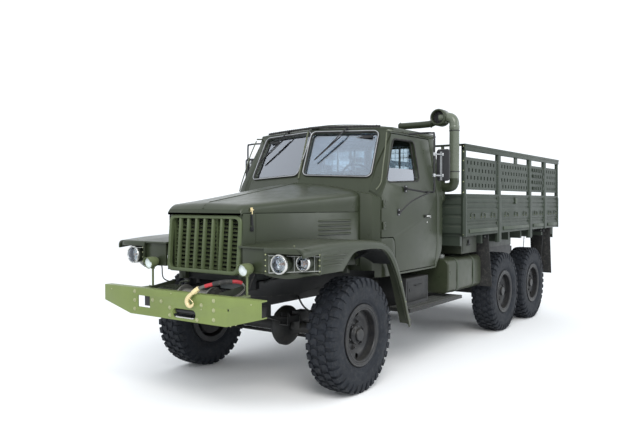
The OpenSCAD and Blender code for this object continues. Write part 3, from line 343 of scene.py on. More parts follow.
class Looks:
    """Builds a node material: colour with broad and fine variation, dust on
    upward faces, road dirt low down, roughness and bump from the same noise."""

    def __init__(self, name):
        self.mat = bpy.data.materials.new(name)
        self.mat["look"] = name
        self.mat.use_nodes = True
        self.t = self.mat.node_tree
        self.t.nodes.clear()
        self.out = self.t.nodes.new("ShaderNodeOutputMaterial")
        self.shader = self.t.nodes.new("ShaderNodeBsdfPrincipled")
        self.t.links.new(self.shader.outputs[0], self.out.inputs[0])
        self.at = self.t.nodes.new("ShaderNodeTexCoord").outputs["Object"]

    def link(self, a, b):
        self.t.links.new(a, b)

    def noise(self, scale, detail=4, rough=0.55, at=None, stretch=None):
        n = self.t.nodes.new("ShaderNodeTexNoise")
        n.inputs["Scale"].default_value = scale
        n.inputs["Detail"].default_value = detail
        n.inputs["Roughness"].default_value = rough
        source = at or self.at
        if stretch:
            m = self.t.nodes.new("ShaderNodeMapping")
            m.inputs["Scale"].default_value = stretch
            self.link(source, m.inputs["Vector"])
            source = m.outputs[0]
        self.link(source, n.inputs["Vector"])
        return n.outputs["Fac"]

    def ramp(self, value, low, high, a=0.0, b=1.0):
        r = self.t.nodes.new("ShaderNodeMapRange")
        r.inputs["From Min"].default_value = low
        r.inputs["From Max"].default_value = high
        r.inputs["To Min"].default_value = a
        r.inputs["To Max"].default_value = b
        self.link(value, r.inputs["Value"])
        return r.outputs[0]

    def maths(self, kind, a, b):
        m = self.t.nodes.new("ShaderNodeMath")
        m.operation = kind
        for socket, v in zip(m.inputs, (a, b)):
            if isinstance(v, (int, float)):
                socket.default_value = v
            else:
                self.link(v, socket)
        return m.outputs[0]

    def mix(self, factor, a, b, kind="MIX"):
        m = self.t.nodes.new("ShaderNodeMix")
        m.data_type = "RGBA"
        m.blend_type = kind
        for name, v in (("Factor", factor), ("A", a), ("B", b)):
            socket = [s for s in m.inputs if s.name == name and s.enabled][0]
            if isinstance(v, (int, float)):
                socket.default_value = v
            elif isinstance(v, tuple):
                socket.default_value = (*v, 1)
            else:
                self.link(v, socket)
        return [s for s in m.outputs if s.enabled][0]

    def set(self, **values):
        for name, v in values.items():
            socket = self.shader.inputs[name.replace("_", " ")]
            if isinstance(v, (int, float)):
                socket.default_value = v
            elif isinstance(v, tuple):
                socket.default_value = (*v, 1)
            else:
                self.link(v, socket)

    def bump(self, *layers):
        """Layers are (height, strength, distance)."""
        last = None
        for height, strength, distance in layers:
            n = self.t.nodes.new("ShaderNodeBump")
            n.inputs["Strength"].default_value = strength
            n.inputs["Distance"].default_value = distance
            self.link(height, n.inputs["Height"])
            if last:
                self.link(last, n.inputs["Normal"])
            last = n.outputs[0]
        self.link(last, self.shader.inputs["Normal"])

    def facing_up(self):
        g = self.t.nodes.new("ShaderNodeNewGeometry")
        s = self.t.nodes.new("ShaderNodeSeparateXYZ")
        self.link(g.outputs["Normal"], s.inputs[0])
        return s.outputs["Z"]

    def height(self):
        s = self.t.nodes.new("ShaderNodeSeparateXYZ")
        self.link(self.at, s.inputs[0])
        return s.outputs["Z"]


DUST = (0.30, 0.28, 0.21)


def paint(name, colour, rough=0.42, vary=0.14, dust=0.06, dirt=0.14, coat=0.06, metal=0.0,
          orange=0.12, fine=0.5, spec=0.28):
    """Sprayed paint or bare metal with dust and road dirt."""
    k = Looks(name)
    broad = k.noise(1.3, 5, 0.6)
    fine_noise = k.noise(60, 3, 0.6)
    streaks = k.noise(5, 4, 0.65, stretch=(1, 1, 0.18))
    deep = tuple(c * (1 - vary) for c in colour)
    light = tuple(min(1, c * (1 + vary)) for c in colour)
    base = k.mix(k.ramp(broad, 0.32, 0.68), deep, light)
    base = k.mix(k.ramp(streaks, 0.45, 0.75, 0, 0.35), base, tuple(c * 0.8 for c in colour))
    up = k.ramp(k.facing_up(), 0.35, 1.0)
    settled = k.maths("MULTIPLY", up, k.ramp(k.noise(4, 6, 0.7), 0.35, 0.7, dust * 0.35, dust))
    base = k.mix(settled, base, DUST)
    low = k.maths("MULTIPLY", k.ramp(k.height(), 1.25, 0.45),
                  k.ramp(k.noise(9, 6, 0.7), 0.35, 0.72, 0, dirt))
    base = k.mix(low, base, (0.20, 0.18, 0.14))
    k.set(Base_Color=base, Metallic=metal)
    k.set(Roughness=k.ramp(k.noise(7, 5, 0.7), 0.25, 0.75, rough - 0.07, rough + 0.10))
    k.set(Coat_Weight=coat, Coat_Roughness=0.25, Specular_IOR_Level=spec)
    k.bump((k.noise(190, 2, 0.5), orange, 0.0004), (fine_noise, fine * 0.25, 0.0006))
    return k.mat


def rubber(name, colour, rough=0.72, ribs=0.3, grime=0.5):
    k = Looks(name)
    base = k.mix(k.ramp(k.noise(6, 5, 0.65), 0.35, 0.7), colour, tuple(c * 1.5 for c in colour))
    base = k.mix(k.ramp(k.noise(22, 6, 0.75), 0.5, 0.8, 0, grime), base, (0.16, 0.15, 0.13))
    k.set(Base_Color=base, Roughness=k.ramp(k.noise(14, 4, 0.6), 0.3, 0.7, rough - 0.08, rough + 0.12))
    k.set(Specular_IOR_Level=0.25)
    k.bump((k.noise(120, 4, 0.6), ribs, 0.0008))
    return k.mat


def clear_glass(name, tint, shine=1.0, haze=0.02):
    """Glass that lets light straight through and shines at shallow angles."""
    k = Looks(name)
    through = k.t.nodes.new("ShaderNodeBsdfTransparent")
    smudge = k.noise(3, 5, 0.7)
    k.link(k.mix(k.ramp(smudge, 0.3, 0.7), tint, tuple(c * 0.93 for c in tint)), through.inputs[0])
    k.set(Base_Color=(0.84, 0.88, 0.96), Metallic=1.0,
          Roughness=k.ramp(smudge, 0.35, 0.75, haze, haze + 0.06))
    k.set(Specular_IOR_Level=0.6)
    k.bump((k.noise(1.2, 2, 0.5), 0.15, 0.002))
    edge = k.t.nodes.new("ShaderNodeFresnel")
    edge.inputs[0].default_value = 1.5
    both = k.t.nodes.new("ShaderNodeMixShader")
    k.link(k.maths("MINIMUM", k.maths("MULTIPLY", edge.outputs[0], 3.2 * shine), 1.0), both.inputs[0])
    k.link(through.outputs[0], both.inputs[1])
    k.link(k.shader.outputs[0], both.inputs[2])
    k.link(both.outputs[0], k.out.inputs[0])
    return k.mat


OLIVE = (0.027, 0.034, 0.019)
olive = paint("olive", OLIVE, rough=0.32, coat=0.12)
olive_dark = paint("olive_dark", (0.021, 0.026, 0.016), rough=0.45)
bed_green = paint("bed_green", (0.026, 0.035, 0.025), rough=0.46, dust=0.16)
bumper_green = paint("bumper_green", (0.155, 0.200, 0.058), rough=0.42, dust=0.1)
grille_green = paint("grille_green", (0.066, 0.086, 0.040), rough=0.42)
chassis_black = paint("chassis_black", (0.012, 0.013, 0.014), rough=0.50, dirt=0.10, dust=0.08)
wheel_black = paint("wheel_black", (0.012, 0.013, 0.016), rough=0.38, dirt=0.10, dust=0.05)
winch_metal = paint("winch_metal", (0.12, 0.12, 0.11), rough=0.45, metal=0.7, dust=0.12)
engine_metal = paint("engine_metal", (0.10, 0.11, 0.11), rough=0.5, metal=0.4, dust=0.2)
exhaust_metal = paint("exhaust_metal", (0.09, 0.075, 0.06), rough=0.6, metal=0.6, dust=0.2)
interior_black = paint("interior_black", (0.028, 0.029, 0.030), rough=0.6, coat=0)
seat_vinyl = rubber("seat_vinyl", (0.030, 0.032, 0.028), rough=0.5, ribs=0.15, grime=0.15)
mirror_black = paint("mirror_black", (0.018, 0.018, 0.020), rough=0.4, dirt=0)
tyre_rubber = rubber("tyre_rubber", (0.010, 0.012, 0.016), grime=0.16)
rubber_black = rubber("rubber_black", (0.018, 0.018, 0.018), rough=0.6)
window_glass = clear_glass("window_glass", (0.74, 0.82, 0.86), shine=1.45)
lamp_glass = clear_glass("lamp_glass", (0.93, 0.95, 0.95), shine=0.6)

SLOT_LOOKS = {m["look"]: m for m in (
    olive, olive_dark, bed_green, bumper_green, grille_green, chassis_black, wheel_black,
    winch_metal, engine_metal, exhaust_metal, interior_black, seat_vinyl, mirror_black,
    tyre_rubber, rubber_black, window_glass, lamp_glass)}


# ---------------------------------------------------------------- wheels and tyres

TRACK, HUB_Z = 1.0, 0.5625
MID_X, REAR_X = -3.9, -5.18


def tyre_shape():
    """Carcass and tread blocks, about an axle along +Y."""
    s = Shape()
    top = [(0.254, 0.106), (0.292, 0.111), (0.303, 0.122), (0.313, 0.131), (0.330, 0.134),
           (0.336, 0.140), (0.350, 0.146), (0.392, 0.1545), (0.428, 0.1550), (0.462, 0.1525),
           (0.488, 0.1470), (0.508, 0.1420), (0.526, 0.1330), (0.5375, 0.1150), (0.5430, 0.0700),
           (0.5450, 0.0250)]
    ring = top + [(r, -y) for r, y in reversed(top)]
    s.lathe(ring, (0, 0, 0), (0, 1, 0), 96)
    for y in (0.1475, -0.1475):
        s.lathe([(0.374, y), (0.378, y + math.copysign(0.0055, y)), (0.384, y + math.copysign(0.0055, y)),
                 (0.388, y)], (0, 0, 0), (0, 1, 0), 96)
    rows = 36
    pitch = 2 * math.pi / rows

    def lug(points, taper=0.06):
        """Corners as (angle share, y, ground radius, face radius), in order round the lug."""
        ga = sum(p[0] for p in points) / len(points)
        gy = sum(p[1] for p in points) / len(points)
        low, high, cap = [], [], []
        for a, y, r0, r1 in points:
            for out, r, pull in ((low, r0, -taper), (high, r1 - 0.0035, 0.0), (cap, r1, 0.09)):
                aa = (a + (ga - a) * pull) * pitch
                yy = y + (gy - y) * pull
                out.append((r * math.sin(aa), yy, r * math.cos(aa)))
        s.loft([low, high, cap])

    for i in range(rows):
        for side in (1, -1):
            a = i + (0.5 if side < 0 else 0.0)
            deep = 0.012 if i % 2 else 0.0
            # shoulder block, running down the side
            lug([(a - 0.31, side * 0.088, 0.535, 0.5612), (a + 0.31, side * 0.088, 0.535, 0.5612),
                 (a + 0.31, side * 0.1405, 0.520, 0.5545), (a - 0.31, side * 0.1405, 0.520, 0.5545)])
            lug([(a - 0.30, side * 0.128, 0.500, 0.5535), (a + 0.30, side * 0.128, 0.500, 0.5535),
                 (a + 0.27, side * 0.1525, 0.498 - deep, 0.526),
                 (a - 0.27, side * 0.1525, 0.498 - deep, 0.526)],
                taper=0.0)
            lug([(a - 0.27, side * 0.136, 0.476 - deep, 0.527),
                 (a + 0.27, side * 0.136, 0.476 - deep, 0.527),
                 (a + 0.24, side * 0.1548, 0.478 - deep, 0.515),
                 (a - 0.24, side * 0.1548, 0.478 - deep, 0.515)],
                taper=0.0)
            # middle block, slanted
            lug([(a + 0.16, side * 0.012, 0.538, 0.5625), (a + 0.74, side * 0.012, 0.538, 0.5625),
                 (a + 0.62, side * 0.050, 0.538, 0.5625), (a + 0.78, side * 0.078, 0.536, 0.5618),
                 (a + 0.20, side * 0.078, 0.536, 0.5618), (a + 0.04, side * 0.050, 0.538, 0.5625)])
    return s


def wheel_shape():
    """Rim and dished disc, about an axle along +Y with the outside at +Y."""
    s = Shape()
    rim = [(0.242, -0.143), (0.296, -0.143), (0.303, -0.137), (0.303, -0.122), (0.296, -0.118),
           (0.262, -0.116), (0.254, -0.108), (0.254, 0.104), (0.262, 0.112), (0.293, 0.117),
           (0.299, 0.121), (0.303, 0.128), (0.303, 0.137), (0.297, 0.143), (0.287, 0.141),
           (0.278, 0.134), (0.268, 0.132), (0.262, 0.136), (0.256, 0.141), (0.248, 0.139), (0.242, 0.130)]
    s.lathe(rim, (0, 0, 0), (0, 1, 0), 96)
    s.lathe([(0.088, 0.035), (0.160, 0.035), (0.176, 0.043), (0.192, 0.057), (0.204, 0.060),
             (0.243, 0.060), (0.243, 0.072), (0.202, 0.072), (0.188, 0.068), (0.172, 0.054),
             (0.158, 0.047), (0.088, 0.047)], (0, 0, 0), (0, 1, 0), 96)
    return s


def wheel_details():
    s = Shape()
    for k in range(6):
        a = math.radians(60 * k + 15)
        at = Vector((0.125 * math.sin(a), 0, 0.125 * math.cos(a)))
        s.rod(at + Vector((0, 0.046, 0)), at + Vector((0, 0.052, 0)), 0.027, 20, chamfer=0.002)
        s.rod(at + Vector((0, 0.051, 0)), at + Vector((0, 0.066, 0)), 0.0185, 6, chamfer=0.002)
        s.rod(at + Vector((0, 0.063, 0)), at + Vector((0, 0.080, 0)), 0.0105, 14, chamfer=0.002)
    s.lathe([(0.05, -0.06), (0.094, -0.06), (0.095, 0.070), (0.090, 0.077), (0.074, 0.079),
             (0.066, 0.084), (0.061, 0.092), (0.061, 0.109), (0.056, 0.117), (0.002, 0.118),
             (0.002, 0.10), (0.05, 0.09)], (0, 0, 0), (0, 1, 0), 64)
    for k in range(8):
        a = math.radians(45 * k)
        at = Vector((0.079 * math.sin(a), 0.0755, 0.079 * math.cos(a)))
        s.bolt(at, (0, 1, 0), 0.0075, 0.006, washer=False)
    s.rod((0, 0.114, 0), (0, 0.1185, 0), 0.020, 6, chamfer=0.001)
    drum = [(0.181, -0.12), (0.203, -0.12), (0.205, -0.117), (0.205, -0.100), (0.199, -0.096),
            (0.199, -0.084), (0.205, -0.080), (0.205, 0.020), (0.196, 0.034), (0.09, 0.036),
            (0.09, 0.012), (0.181, 0.0)]
    s.lathe(drum, (0, 0, 0), (0, 1, 0), 72)
    # ring that locks the tyre on, and the valve
    s.lathe([(0.262, 0.134), (0.268, 0.1405), (0.279, 0.1405), (0.285, 0.135)], (0, 0, 0), (0, 1, 0), 96)
    s.tube([(0.0, 0.075, 0.222), (0.0, 0.092, 0.224), (0.0, 0.118, 0.236), (0.0, 0.128, 0.240)], 0.0055, 8)
    s.rod((0.0, 0.126, 0.239), (0.0, 0.139, 0.2445), 0.0075, 8, chamfer=0.001)
    return s


def build_wheels():
    tyre = raw_object("tyre_shape", tyre_shape(), shifted=False)
    finish_mesh(tyre.data, 30)
    rim = raw_object("rim_shape", wheel_shape(), shifted=False)
    holes = []
    for k in (0, 180):
        a = math.radians(k + 90)
        hole = Shape().rod((0.209 * math.sin(a), -0.2, 0.209 * math.cos(a)),
                           (0.209 * math.sin(a), 0.2, 0.209 * math.cos(a)), 0.028, 28)
        holes.append(hole)
    for hole in holes:
        tool = raw_object("hole", hole, shifted=False)
        m = rim.modifiers.new("cut", "BOOLEAN")
        m.operation, m.solver, m.object = "DIFFERENCE", "EXACT", tool
        bpy.context.view_layer.update()
        with_modifiers(rim)
        bpy.data.objects.remove(tool)
    finish_mesh(rim.data, 30)
    nuts = raw_object("nuts_shape", wheel_details(), shifted=False)
    finish_mesh(nuts.data, 30)
    for mesh, look in ((tyre.data, tyre_rubber), (rim.data, wheel_black), (nuts.data, wheel_black)):
        mesh.materials.clear()
        mesh.materials.append(look)
    turns = iter((0.4, 1.7, 2.9, 4.1, 5.2, 0.9))
    for where, x in (("front", 0.0), ("mid", MID_X), ("rear", REAR_X)):
        for side, word in ((1, "left"), (-1, "right")):
            turn = next(turns)
            spin = Matrix.Rotation(turn, 4, "Y")
            if where == "front" and side > 0:
                spin = Matrix.Rotation(math.radians(90), 4, "Y")
            place = Matrix.Translation((AXLE_X + x, side * TRACK, HUB_Z))
            if side < 0:
                place = place @ Matrix.Rotation(math.pi, 4, "Z")
            for kind, mesh, node, slot in (("tread", tyre.data, "tyre", "tyre_rubber"),
                                           ("rim", rim.data, "wheel", "wheel_black"),
                                           ("hub", nuts.data, None, "wheel_black")):
                turned = mesh.copy()
                turned.transform(spin)
                obj = bpy.data.objects.new(f"{kind}_{where}_{word}", turned)
                bpy.context.scene.collection.objects.link(obj)
                obj.matrix_world = place
                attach(obj, f"{where}_{word}_wheel")
                if node:
                    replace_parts(obj, f"{node}_{where}_{word}")
    for o in (tyre, rim, nuts):
        bpy.data.objects.remove(o)


build_wheels()


# ---------------------------------------------------------------- bumper and winch

def build_bumper():
    from_node("bumper_beam", "front_bumper", bumper_green, bevel=0.0025)
    face = 1.353
    s = Shape()
    for y, z in ((-0.556, 1.007), (-0.556, 0.924), (-0.556, 0.842), (0.474, 1.003), (0.474, 0.921),
                 (0.474, 0.838), (-0.073, 0.897), (-0.073, 0.828), (0.273, 0.819), (0.326, 0.952),
                 (-0.303, 0.946), (-0.188, 0.943)):
        s.bolt((face, y, z), (1, 0, 0), 0.0125, 0.010)
    for y, z in ((-0.058, 1.026), (0.90, 1.006), (-0.90, 1.004), (0.326, 0.915)):
        s.rivet((face, y, z), (1, 0, 0), 0.007)
    for y in (0.52, 0.58, 0.64, 0.70):
        s.bolt((face - 0.03, y, 0.797 + max(0, y - 0.618) * 0.26), (0, 0, -1), 0.009, 0.008, washer=False)
    piece("bumper_bolts", s, "chassis", bolt_green, bevel=0.0008, segments=1)
    # cheeks and stiffeners behind the face
    s = Shape()
    for y in (-0.80, 0.80):
        s.prism([(1.276, 1.030), (1.340, 1.030), (1.340, 0.870), (1.300, 0.868)], y - 0.004, y + 0.004)
    for side in (-1, 1):
        s.prism([(0.95, 1.090), (1.270, 1.050), (1.270, 0.99), (0.95, 1.03)], side * 0.446 - 0.006,
                side * 0.446 + 0.006)
    piece("bumper_stays", s, "chassis", olive_dark, bevel=0.0015)


def build_winch():
    y0, y1, x, z = -0.082, 0.298, 1.165, 0.960
    s = Shape()
    s.rod((x, y0, z), (x, y1, z), 0.080, 40)
    rim = [(0.030, 0.0), (0.118, 0.0), (0.124, 0.002), (0.1275, 0.007), (0.1275, 0.013), (0.124, 0.018),
           (0.124, 0.020), (0.118, 0.015), (0.100, 0.012), (0.030, 0.012)]
    s.lathe([(r, a) for r, a in rim], (x, y1 - 0.020, z), (0, 1, 0), 56)
    s.lathe([(r, a) for r, a in rim], (x, y0 + 0.020, z), (0, -1, 0), 56)
    for k in range(8):
        a = math.radians(45 * k + 10)
        for y, d in ((y1, 1), (y0, -1)):
            s.bolt((x + 0.108 * math.cos(a), y - d * 0.008, z + 0.108 * math.sin(a)), (0, d, 0), 0.008,
                   0.006)
    obj = raw_object("winch_drum", s)
    soften(obj, 0.0015, 1, 40)
    settle(obj, "chassis", winch_metal)

    s = Shape()
    s.box((x - 0.120, -0.348, z - 0.090), (x + 0.088, y0, z + 0.088))
    for k in range(6):
        s.box((x - 0.110, -0.33 + k * 0.042, z + 0.086), (x + 0.078, -0.322 + k * 0.042, z + 0.102))
    s.rod((x - 0.015, -0.348, z), (x - 0.015, -0.30, z), 0.070, 32, chamfer=0.008)
    s.box((x - 0.070, y1 - 0.001, z - 0.060), (x + 0.070, 0.349, z + 0.062))
    s.rod((x, 0.30, z), (x, 0.348, z), 0.052, 28, chamfer=0.006)
    s.box((x - 0.130, -0.349, z - 0.110), (x + 0.060, 0.349, z - 0.096))
    s.box((x - 0.130, -0.349, z - 0.100), (x - 0.095, y0, z))
    for bx in (-0.10, 0.065):
        for by in (-0.32, -0.12):
            s.bolt((x + bx, by, z + 0.088), (0, 0, 1), 0.009, 0.007)
    s.tube([(x - 0.05, -0.20, z + 0.10), (x - 0.06, -0.20, z + 0.135), (x - 0.06, -0.13, z + 0.15)], 0.007,
           10)
    s.rod((x - 0.06, -0.14, z + 0.15), (x - 0.06, -0.09, z + 0.15), 0.012, 14, chamfer=0.003)
    piece("winch_case", s, "chassis", olive_dark, bevel=0.004, replaces=("winch",))

    # layers of wire rope on the drum
    s = Shape()
    turns, points = 21, []
    for i in range(turns * 26 + 1):
        a = 2 * math.pi * i / 26
        y = y0 + 0.028 + (y1 - y0 - 0.056) * i / (turns * 26)
        r = 0.0865 + 0.0012 * noise.noise((y * 60, a * 0.4, 1.0))
        points.append((x + r * math.cos(a), y, z + r * math.sin(a)))
    s.tube(points, 0.0080, 6)
    piece("winch_rope", s, "chassis", rope_steel)

    # fairlead rollers
    s = Shape()
    s.rod((1.303, -0.026, 0.872), (1.303, 0.242, 0.872), 0.027, 28, chamfer=0.004)
    s.rod((1.303, -0.034, 0.872), (1.303, 0.250, 0.872), 0.010, 14)
    piece("fairlead_roller", s, "chassis", wheel_black)
    s = Shape()
    s.tube([(1.338, -0.006, 0.820), (1.340, 0.02, 0.8175), (1.340, 0.20, 0.8175), (1.338, 0.222, 0.820)],
           0.0085, 12)
    piece("fairlead_lip", s, "chassis", bright_steel)

    # the hook, hung over the bumper's top edge with its clevis
    s = Shape()
    path = smooth_line([(1.378, 0.262, 1.066), (1.384, 0.236, 1.046), (1.388, 0.205, 1.018),
                        (1.389, 0.186, 0.984),
                        (1.389, 0.196, 0.950), (1.388, 0.226, 0.936), (1.387, 0.252, 0.950),
                        (1.385, 0.262, 0.972)], 6)
    n = len(path)
    radii = [0.0125 + 0.0085 * math.sin(math.pi * min(1, i / n * 1.25)) - 0.011 * max(0,
                                                                                      i / n - 0.82) / 0.18
             for i in range(n)]
    s.tube(path, radii, 14)
    s.rod((1.386, 0.252, 1.056), (1.372, 0.292, 1.090), 0.021, 18, chamfer=0.004)
    s.tube(smooth_line([(1.390, 0.208, 1.022), (1.394, 0.226, 1.004), (1.393, 0.248, 0.990),
                        (1.389, 0.262, 0.974)], 4),
           0.0045, 8)
    for d in (-0.017, 0.017):
        s.block((1.372 + d * 0.5, 0.284, 1.080), (0.008, 0.075, 0.036),
                Matrix.Rotation(math.radians(38), 3, "X"))
    s.rod((1.352, 0.284, 1.082), (1.396, 0.284, 1.082), 0.009, 16, chamfer=0.002)
    piece("tow_hook", s, "chassis", hook_brass, bevel=0.0012, segments=1)

    run = smooth_line([(1.372, 0.292, 1.090), (1.345, 0.350, 1.116), (1.300, 0.430, 1.140),
                       (1.235, 0.520, 1.158),
                       (1.150, 0.600, 1.150), (1.080, 0.585, 1.085), (1.090, 0.480, 1.010),
                       (1.140, 0.330, 0.985),
                       (1.165, 0.262, 1.040)], 8)
    s = Shape()
    s.tube(run, 0.0085, 10)
    piece("hook_rope", s, "chassis", rope_steel)
    for name, a, b, r, look in (("hook_sleeve_grey", 1, 9, 0.0150, winch_metal),
                                ("hook_sleeve_red", 9, 16, 0.0165, red_wrap),
                                ("hook_sleeve_black", 15, 27, 0.0215, rubber_black),
                                ("hook_sleeve_end", 27, 33, 0.0165, red_wrap)):
        s = Shape()
        part = run[a:b + 1]
        s.tube(part, [r * (1 + 0.05 * noise.noise((i * 0.9, r * 100, 2.0))) for i in range(len(part))], 14)
        piece(name, s, "chassis", look)


bolt_green = paint("bolt_green", (0.33, 0.35, 0.20), rough=0.35, metal=0.2, dust=0.05)
bright_steel = paint("bright_steel", (0.62, 0.62, 0.60), rough=0.28, metal=0.9, dust=0.05, dirt=0.1)
rope_steel = paint("rope_steel", (0.20, 0.195, 0.18), rough=0.42, metal=0.8, dust=0.1)
hook_brass = paint("hook_brass", (0.62, 0.52, 0.30), rough=0.36, metal=0.45, vary=0.25, dust=0.05)
red_wrap = rubber("red_wrap", (0.26, 0.022, 0.028), rough=0.5, grime=0.35)
build_bumper()
build_winch()


# ---------------------------------------------------------------- grille and bonnet

GRILLE_HALF, GRILLE_LOW, GRILLE_H, GRILLE_FOOT = 0.472, 1.187, 0.548, 1.037
LEAN = math.radians(4.5)


def on_grille(x, y, z):
    """A point of the grille's own plane, x ahead of its face and z above its foot."""
    return (GRILLE_FOOT + x * math.cos(LEAN) - z * math.sin(LEAN), y,
            GRILLE_LOW + x * math.sin(LEAN) + z * math.cos(LEAN))


def build_grille():
    outer = rounded_rect(2 * GRILLE_HALF, GRILLE_H, 0.070, 8)
    inner = rounded_rect(2 * GRILLE_HALF - 0.072, GRILLE_H - 0.072, 0.050, 8)
    mid_z = GRILLE_H / 2
    section = [(outer, -0.040, 1.0), (outer, -0.008, 1.0), (outer, 0.0, 0.985), (inner, 0.0, 1.006),
               (inner, -0.006, 1.0), (inner, -0.040, 1.0)]
    rings = []
    for i in range(len(outer)):
        rings.append([on_grille(x, line[i][0] * k, mid_z + line[i][1] * k) for line, x, k in section])
    rings.append(rings[0])
    s = Shape()
    s.loft(rings, closed=True, cap=False)
    inner_w = 2 * GRILLE_HALF - 0.072
    pitch = inner_w / 8
    for i in range(1, 8):
        y = -inner_w / 2 + i * pitch
        foot, head = 0.024, GRILLE_H - 0.024
        cross = [(-0.001, -0.0035), (-0.001, 0.0035), (-0.012, 0.0125), (-0.034, 0.0178), (-0.038, 0.0165),
                 (-0.030, 0.0110), (-0.014, 0.0060), (-0.014, -0.0060), (-0.030, -0.0110),
                 (-0.038, -0.0165), (-0.034, -0.0178), (-0.012, -0.0125)]
        rings = []
        for z, back in ((foot, -0.010), (foot + 0.018, 0.0), (head - 0.018, 0.0), (head, -0.010)):
            rings.append([on_grille(cx + back, y + cy, z) for cx, cy in cross])
        s.loft(rings)
    piece("grille_bars", s, "chassis", grille_green, replaces=("grille",), bevel=0.0012, segments=1,
          sharp=40)

    # shutter slats and the wire screen behind the bars
    s = Shape()
    for k in range(12):
        z = 0.040 + k * 0.0395
        s.loft([[on_grille(-0.098, y, z + 0.022), on_grille(-0.062, y, z), on_grille(-0.060, y, z + 0.0035),
                 on_grille(-0.097, y, z + 0.0255)] for y in (-0.425, 0.425)])
    for y in (-0.428, -0.14, 0.14, 0.428):
        s.box((0.930, y - 0.005, 1.21), (0.965, y + 0.005, 1.70))
    piece("shutter_slats", s, "chassis", grille_green)
    s = Shape()
    for k in range(34):
        y = -0.42 + k * 0.84 / 33
        s.box((0.862, y - 0.0012, 1.17), (0.868, y + 0.0012, 1.69))
    for k in range(22):
        z = 1.18 + k * 0.5 / 21
        s.box((0.860, -0.42, z - 0.0012), (0.866, 0.42, z + 0.0012))
    piece("radiator_core", s, "chassis", chassis_black)
    # rubber strip in the gap over the grille, and the shroud round it
    s = Shape()
    s.tube([on_grille(-0.020, y, GRILLE_H + 0.008 - 0.10 * max(0, abs(y) - 0.40) ** 1.2) for y in
            [-0.465 + 0.93 * i / 30 for i in range(31)]], 0.010, 10)
    piece("grille_seal", s, "chassis", rubber_black)
    s = Shape()
    for side in (-1, 1):
        s.loft([[(1.022 - (z - 1.187) * 0.0787, side * 0.470, z),
                 (1.000 - (z - 1.187) * 0.0787, side * 0.484, z),
                 (0.975, side * 0.486, z), (0.975, side * 0.440, z),
                 (1.000 - (z - 1.187) * 0.0787, side * 0.440, z)]
                for z in (1.192, 1.40, 1.60, 1.740)])
    s.box((0.940, -0.44, 1.188), (0.990, 0.44, 1.202))
    piece("grille_shroud", s, "chassis", olive, bevel=0.003)


BON_FRONT, BON_REAR = 1.010, -0.452


def bon_share(x):
    return (BON_FRONT - x) / (BON_FRONT - BON_REAR)


def bonnet_half(x):
    return 0.478 + (0.812 - 0.478) * bon_share(x)


def bonnet_line(x, inset=0.0, drop=0.0, low=1.750):
    """Points over the bonnet at x, from its left edge to its right one."""
    w = bonnet_half(x) - inset
    nose = 0.050 * max(0.0, 1 - (BON_FRONT - x) / 0.085) ** 2.2
    crease = 1.818 + 0.127 * bon_share(x) - drop - nose * 0.8
    crown = 1.832 + 0.228 * bon_share(x) - drop - nose
    r = 0.036
    left = [(x, w, low), (x, w, crease - r - 0.014)]
    for a in (15, 32, 50, 68):
        t = math.radians(a)
        left.append((x, w - r * (1 - math.cos(t)), crease - r - 0.014 + (r + 0.012) * math.sin(t)))
    for t in (0.92, 0.84, 0.74, 0.6, 0.45, 0.3, 0.15, 0.05):
        left.append((x, w * t, crease + (crown - crease) * (1 - t * t) + 0.003 * (t == 0.05)))
    return left + [(x, -y, z) for _, y, z in reversed(left)]


